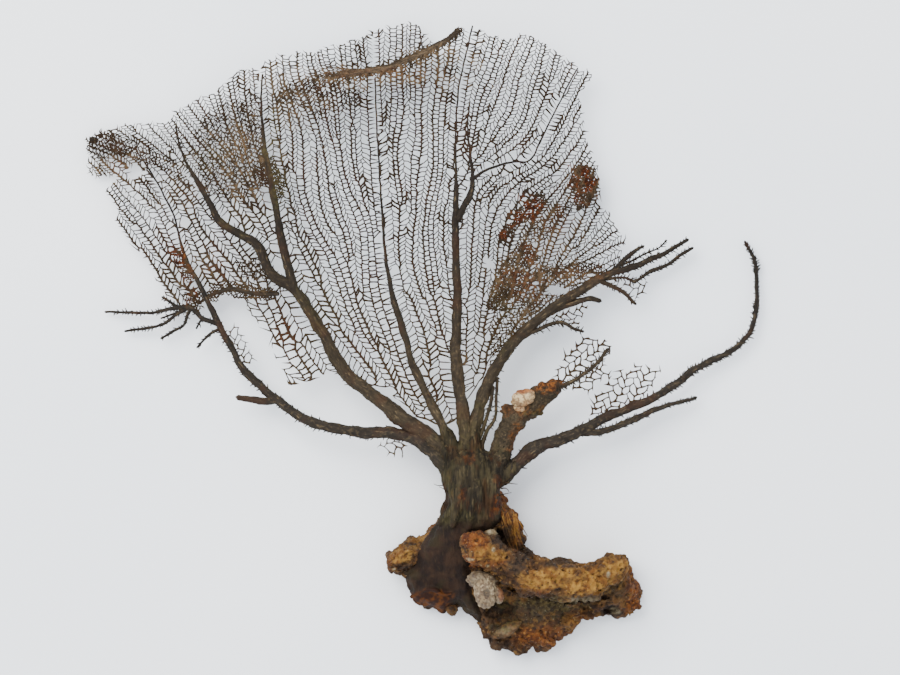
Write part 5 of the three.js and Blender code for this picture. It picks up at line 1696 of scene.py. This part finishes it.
def rockMaterial(name, fibre=False):
    made, tree, surface = newMaterial(name)
    spots = node(tree, "ShaderNodeAttribute", attribute_name="spots").outputs
    rust, ochre, pale = node(tree, "ShaderNodeSeparateXYZ", {0: spots["Vector"]}).outputs
    shades = node(tree, "ShaderNodeAttribute", attribute_name="shades").outputs
    darkToneAndShade, olive, hollowShade = node(tree, "ShaderNodeSeparateXYZ", {0: shades["Vector"]}).outputs
    colour = mixed(tree, blotch(tree, 8, 0.4, 0.62), paint(84, 56, 32), paint(128, 90, 52))
    colour = mixed(tree, blotch(tree, 3.5, 0.5, 0.64, shift=0.7), colour, paint(62, 44, 33))
    colour = mixed(tree, maths(tree, "MULTIPLY", blotch(tree, 4, 0.52, 0.62, shift=1.9), 0.7), colour,
        paint(150, 112, 62))
    green = mixed(tree, blotch(tree, 2.6, 0.4, 0.6, shift=2.6), paint(62, 52, 32), paint(112, 98, 62))
    colour = mixed(tree, olive, colour, green)
    rusty = mixed(tree, blotch(tree, 3.4, 0.4, 0.6, shift=5), paint(96, 48, 24), paint(158, 92, 38))
    rusty = mixed(tree, blotch(tree, 1.7, 0.56, 0.66, shift=5.5), rusty, paint(196, 132, 62))
    colour = mixed(tree, rust, colour, rusty)
    yellow = mixed(tree, blotch(tree, 4.4, 0.36, 0.62, shift=4), paint(150, 98, 40), paint(204, 154, 76))
    yellow = mixed(tree, blotch(tree, 2.0, 0.54, 0.68, shift=4.6), yellow, paint(122, 80, 40))
    colour = mixed(tree, ochre, colour, yellow)
    # Dark purple-brown crust; where the dark spots lie in hollows, crevices and along the ridge's lower edge
    # it is painted shade
    plate = mixed(tree, blotch(tree, 3, 0.4, 0.6, shift=3), paint(38, 30, 28), paint(74, 58, 48))
    colour = mixed(tree, darkToneAndShade, colour, plate)
    chalk = mixed(tree, blotch(tree, 2.0, 0.4, 0.6, shift=6), paint(158, 142, 116), paint(212, 200, 176))
    colour = mixed(tree, pale, colour, chalk)
    specks = maths(tree, "MULTIPLY", blotch(tree, 0.9, 0.72, 0.76, detail=1.0, shift=7), 0.7)
    colour = mixed(tree, specks, colour, paint(206, 194, 170))
    # Painted shade in the folds and pits, left off the straws
    if not fibre:
        colour = mixed(tree, maths(tree, "MULTIPLY", hollowShade, 0.85), colour, paint(30, 20, 15))
    colour = mixed(tree, 1.0, colour, (0.4, 0.38, 0.31, 1), "MULTIPLY")
    tree.links.new(colour, surface.inputs["Base Color"])
    surface.inputs["Roughness"].default_value = 0.8
    surface.inputs["Specular IOR Level"].default_value = 0.2
    tree.links.new(relief(tree, 1.2, 1.0, 0.6).outputs["Normal"], surface.inputs["Normal"])
    return made


def rockPiece(name, bodies, hollowShade, material, slot, *nodes):
    points, faces = together(bodies)
    obj = meshObject(name, points, faces, material)
    found = {kind: spotAt(points, spots) for kind, spots in rockStains.items()}
    # The third value of shades is the painted shade of the folds and pits
    hollowShade = np.pad(hollowShade, (0, len(points) - len(hollowShade)))
    for label, columns in (("spots", ("rust", "ochre", "pale")), ("shades", ("darkToneAndShade", "olive"))):
        values = [found[kind] for kind in columns]
        if label == "shades":
            values.append(hollowShade)
        obj.data.attributes.new(label, "FLOAT_VECTOR", "POINT").data.foreach_set("vector",
            np.column_stack(values).ravel())
    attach(obj, "root")
    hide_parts(*nodes)
    print("piece:", name, sum(len(face) - 2 for face in faces), "triangles")
    return obj


rockPoints, rockFaces, rockHollowShade = rockBody()
lilacBit = pebble((40.5, -115.8, 41), (4.4, 2.0, 2.2))
leafSteps = np.linspace(0, 1, 14)
leafWay = np.outer(1 - leafSteps, (41.5, -180.5, 19)) + np.outer(leafSteps, (59.5, -170, 23))
leafShell = tube(
    leafWay, 0.2 + 3.9 * np.sin(np.pi * leafSteps) ** 0.8 * (1 + 0.06 * np.cos(leafSteps * 40)), 14,
)
rockPiece("crusted_rock", [(rockPoints, rockFaces), lilacBit, leafShell], rockHollowShade,
    rockMaterial("crusted rock"), "rock", "rock")
rockStains["ochre"].append((54, -114, 40, 40, 0.6))
rockPiece("rock_straws", straws(), np.zeros(1), rockMaterial("golden straw", True), "rock", "rock")
print("stage: rock made")


# The short crusted limb
def shortLimbBody():
    points, radii = limbPath(shortLimb)
    lumps = [
        pebble((74, -31, 33), (6, 5, 4.5)), pebble((68, -34, 33), (5, 5, 4)),
            pebble((56, -50, 32), (5.5, 6, 4.5)),
        pebble((50, -60, 31), (5, 6, 4.5)), pebble((79, -28, 31), (3.5, 3, 3)),
            pebble((62, -45, 30), (6.5, 5, 5)),
        pebble((50, -43, 31), (3.6, 3, 3), 0.8), pebble((53, -45, 31), (3, 3, 3), 0.8),
            pebble((68, -44, 30), (4, 3, 3)),
    ]
    bodies = [tube(points, radii * 1.12, 20), *lumps]
    skin, faces = remeshed(*together(bodies), 0.55)
    skin = relaxed(skin, faces, 1)
    out = outward(skin, faces)
    pits = smooth(0.5, 0.1, pocked(skin, 3.0))
    move = 0.85 * octaves(skin, 5,
        3) + 0.5 * grain(skin / 1.3) + 0.7 * (0.4 - np.abs(octaves(skin, 3, 2))) - 0.8 * pits
    return skin + out * move[:, None], faces


stains["rust"] += [(75, -29, 9, 5, 1), (50, -44, 4, 4, 0.4), (55, -56, 5, 12, 0.5), (62, -44, 8, 6, 0.35)]
stains["dust"] += [(58, -48, 12, 16, 0.5)]
stains["moss"] += [(68, -45, 7, 3, 1)]
placed(
    "short_limb_wood",
    [shortLimbBody(), limbBody(shortTwig), *barbs(shortTwig, 1.8, 2.2, 0.1, 1.0, root=0.4)],
    limbHorn, "crusted_bark", "short_limb",
)
placed("short_limb_net", nets["short_limb"], netHorn, "bark", "short_limb")


# Barnacles: x, y, z, half sizes, turn in degrees, ribs, depth of the mouth, darkness
def barnacleBody(x, y, z, sx, sy, sz, turn, ribs, mouth, shade):
    form, faces = ball(5)
    around = np.arctan2(form[:, 1], form[:, 0])
    high = form[:, 2]
    wave = np.abs(np.sin(around * ribs / 2 + 0.9 * grain(form * 2)))
    rib = 0.09 * wave * (1 - high**2)
    ring = 0.02 * np.sin(high * 14 + 2 * grain(form * 1.5))
    hole = mouth * np.exp(-((np.hypot(form[:, 0] - 0.1, form[:, 1]) / 0.3) ** 2)) * (high > 0)
    reach = 1 + rib + ring - hole + 0.09 * octaves(form * 1.7 + x, 1, 3)
    angle = math.radians(turn)
    px, py, pz = (form * reach[:, None] * (sx, sy, sz)).T
    spun = np.column_stack([px * math.cos(angle) - py * math.sin(angle),
        px * math.sin(angle) + py * math.cos(angle), pz])
    # Darker in the grooves between the ribs and by each shell's own darkness, with painted shade inside the
    # mouth
    darkToneAndShade = np.clip(shade + 0.9 * (1 - smooth(0.02, 0.5, wave)) * (1 - high**4) + (hole > 0.06), 0, 1)
    return spun + (x, y, z), faces, darkToneAndShade


def shellMaterial(name, tone):
    made, tree, surface = newMaterial(name)
    groove = node(tree, "ShaderNodeAttribute", attribute_name="groove").outputs["Fac"]
    colour = mixed(tree, blotch(tree, 4, 0.4, 0.6, shift=0.5), paint(170, 152, 120), paint(212, 200, 172))
    colour = mixed(tree, maths(tree, "MULTIPLY", blotch(tree, 1.6, 0.5, 0.62, shift=1.5), 0.8), colour,
        paint(112, 86, 58))
    colour = mixed(tree, maths(tree, "MULTIPLY", blotch(tree, 5, 0.52, 0.62, shift=2.5), 0.7), colour,
        paint(96, 68, 44))
    brown = mixed(tree, blotch(tree, 1.4, 0.45, 0.6, shift=3.5), paint(58, 44, 32), paint(120, 98, 70))
    # Darker brown in the grooves, on the darker shells, and as painted shade inside the mouths
    colour = mixed(tree, maths(tree, "MULTIPLY", groove, 0.8), colour, brown)
    rust = stainSockets(tree)[0]
    colour = mixed(tree, rust, colour,
        mixed(tree, blotch(tree, 2, 0.4, 0.6), paint(110, 62, 28), paint(168, 108, 52)))
    colour = mixed(tree, 1.0, colour, tone, "MULTIPLY")
    tree.links.new(colour, surface.inputs["Base Color"])
    surface.inputs["Roughness"].default_value = 0.78
    tree.links.new(relief(tree, 1.1, 0.9, 0.4).outputs["Normal"], surface.inputs["Normal"])
    return made


def shellPiece(name, shells, material, nodeName):
    obj = placed(name, [each[:2] for each in shells], material, "barnacle", nodeName)
    pointValues(obj, "groove", np.concatenate([each[2] for each in shells]))


stains["rust"] += [(58, -32, 6, 2.2, 1), (47, -152, 2.5, 5, 0.8)]
shellPiece("ball_barnacle_shell", [
    barnacleBody(37.5, -151, 40, 6.4, 9.2, 8.0, 8, 15, 0.25, 0.0),
    barnacleBody(35.5, -144.5, 38, 8.4, 5.4, 6.0, -10, 12, 0.1, 0.65),
        barnacleBody(45, -153, 39.5, 3.2, 4.8, 4.6, 15, 8, 0.2, 0.6),
], shellMaterial("grey barnacle", (0.38, 0.33, 0.27, 1)), "ball_barnacle")
shellPiece("pale_barnacle_shell", [
    barnacleBody(60, -36, 37, 7.0, 4.8, 4.0, 20, 9, 0.0, 0.0),
        barnacleBody(58, -42, 35.5, 3.4, 2.2, 2.0, -10, 5, 0.1, 0.0),
], shellMaterial("pale barnacle", (0.72, 0.6, 0.44, 1)), "pale_barnacle")
print("stage: barnacles made")


# Setting
settingValues = {
    "viewWidth": 0.540,
    "cameraHeight": 1.82,
    "cameraAside": 0.0165,
    "sensor": 36.0,
    "sky": 2.15,
    "lamp": 84.0,
    "lampSize": 1.6,
    "lampPlace": (-0.9, 1.0, 1.9),
}


def paperMaterial():
    made, tree, surface = newMaterial("white paper")
    warm = mixed(tree, blotch(tree, 260, 0.3, 0.7, detail=1.0), paint(240, 244, 248), paint(246, 248, 250))
    tree.links.new(warm, surface.inputs["Base Color"])
    surface.inputs["Roughness"].default_value = 0.65
    surface.inputs["Specular IOR Level"].default_value = 0.3
    return made


def floorPlane():
    bpy.ops.mesh.primitive_plane_add(size=6, location=(0, 0, 0))
    plane = bpy.context.object
    plane.name = "paper"
    plane.data.materials.append(paperMaterial())


def light():
    world = bpy.data.worlds.new("sky")
    world.use_nodes = True
    sky = world.node_tree.nodes["Background"]
    sky.inputs["Color"].default_value = paint(238, 243, 250)
    sky.inputs["Strength"].default_value = settingValues["sky"]
    bpy.context.scene.world = world
    lamp = bpy.data.lights.new("window", "AREA")
    lamp.energy = settingValues["lamp"]
    lamp.size = settingValues["lampSize"]
    lamp.color = (1.0, 0.985, 0.96)
    obj = bpy.data.objects.new("window", lamp)
    obj.location = settingValues["lampPlace"]
    obj.rotation_euler = (Vector((0, 0, 0)) - obj.location).to_track_quat("-Z", "Y").to_euler()
    bpy.context.scene.collection.objects.link(obj)


def camera():
    lens = bpy.data.cameras.new("view")
    lens.sensor_width = settingValues["sensor"]
    depth = settingValues["cameraHeight"] - 0.02
    lens.lens = settingValues["sensor"] * depth / settingValues["viewWidth"]
    obj = bpy.data.objects.new("view", lens)
    obj.location = (settingValues["cameraAside"], 0, settingValues["cameraHeight"])
    bpy.context.scene.collection.objects.link(obj)
    bpy.context.scene.camera = obj


floorPlane()
light()
camera()
print("stage: setting made")
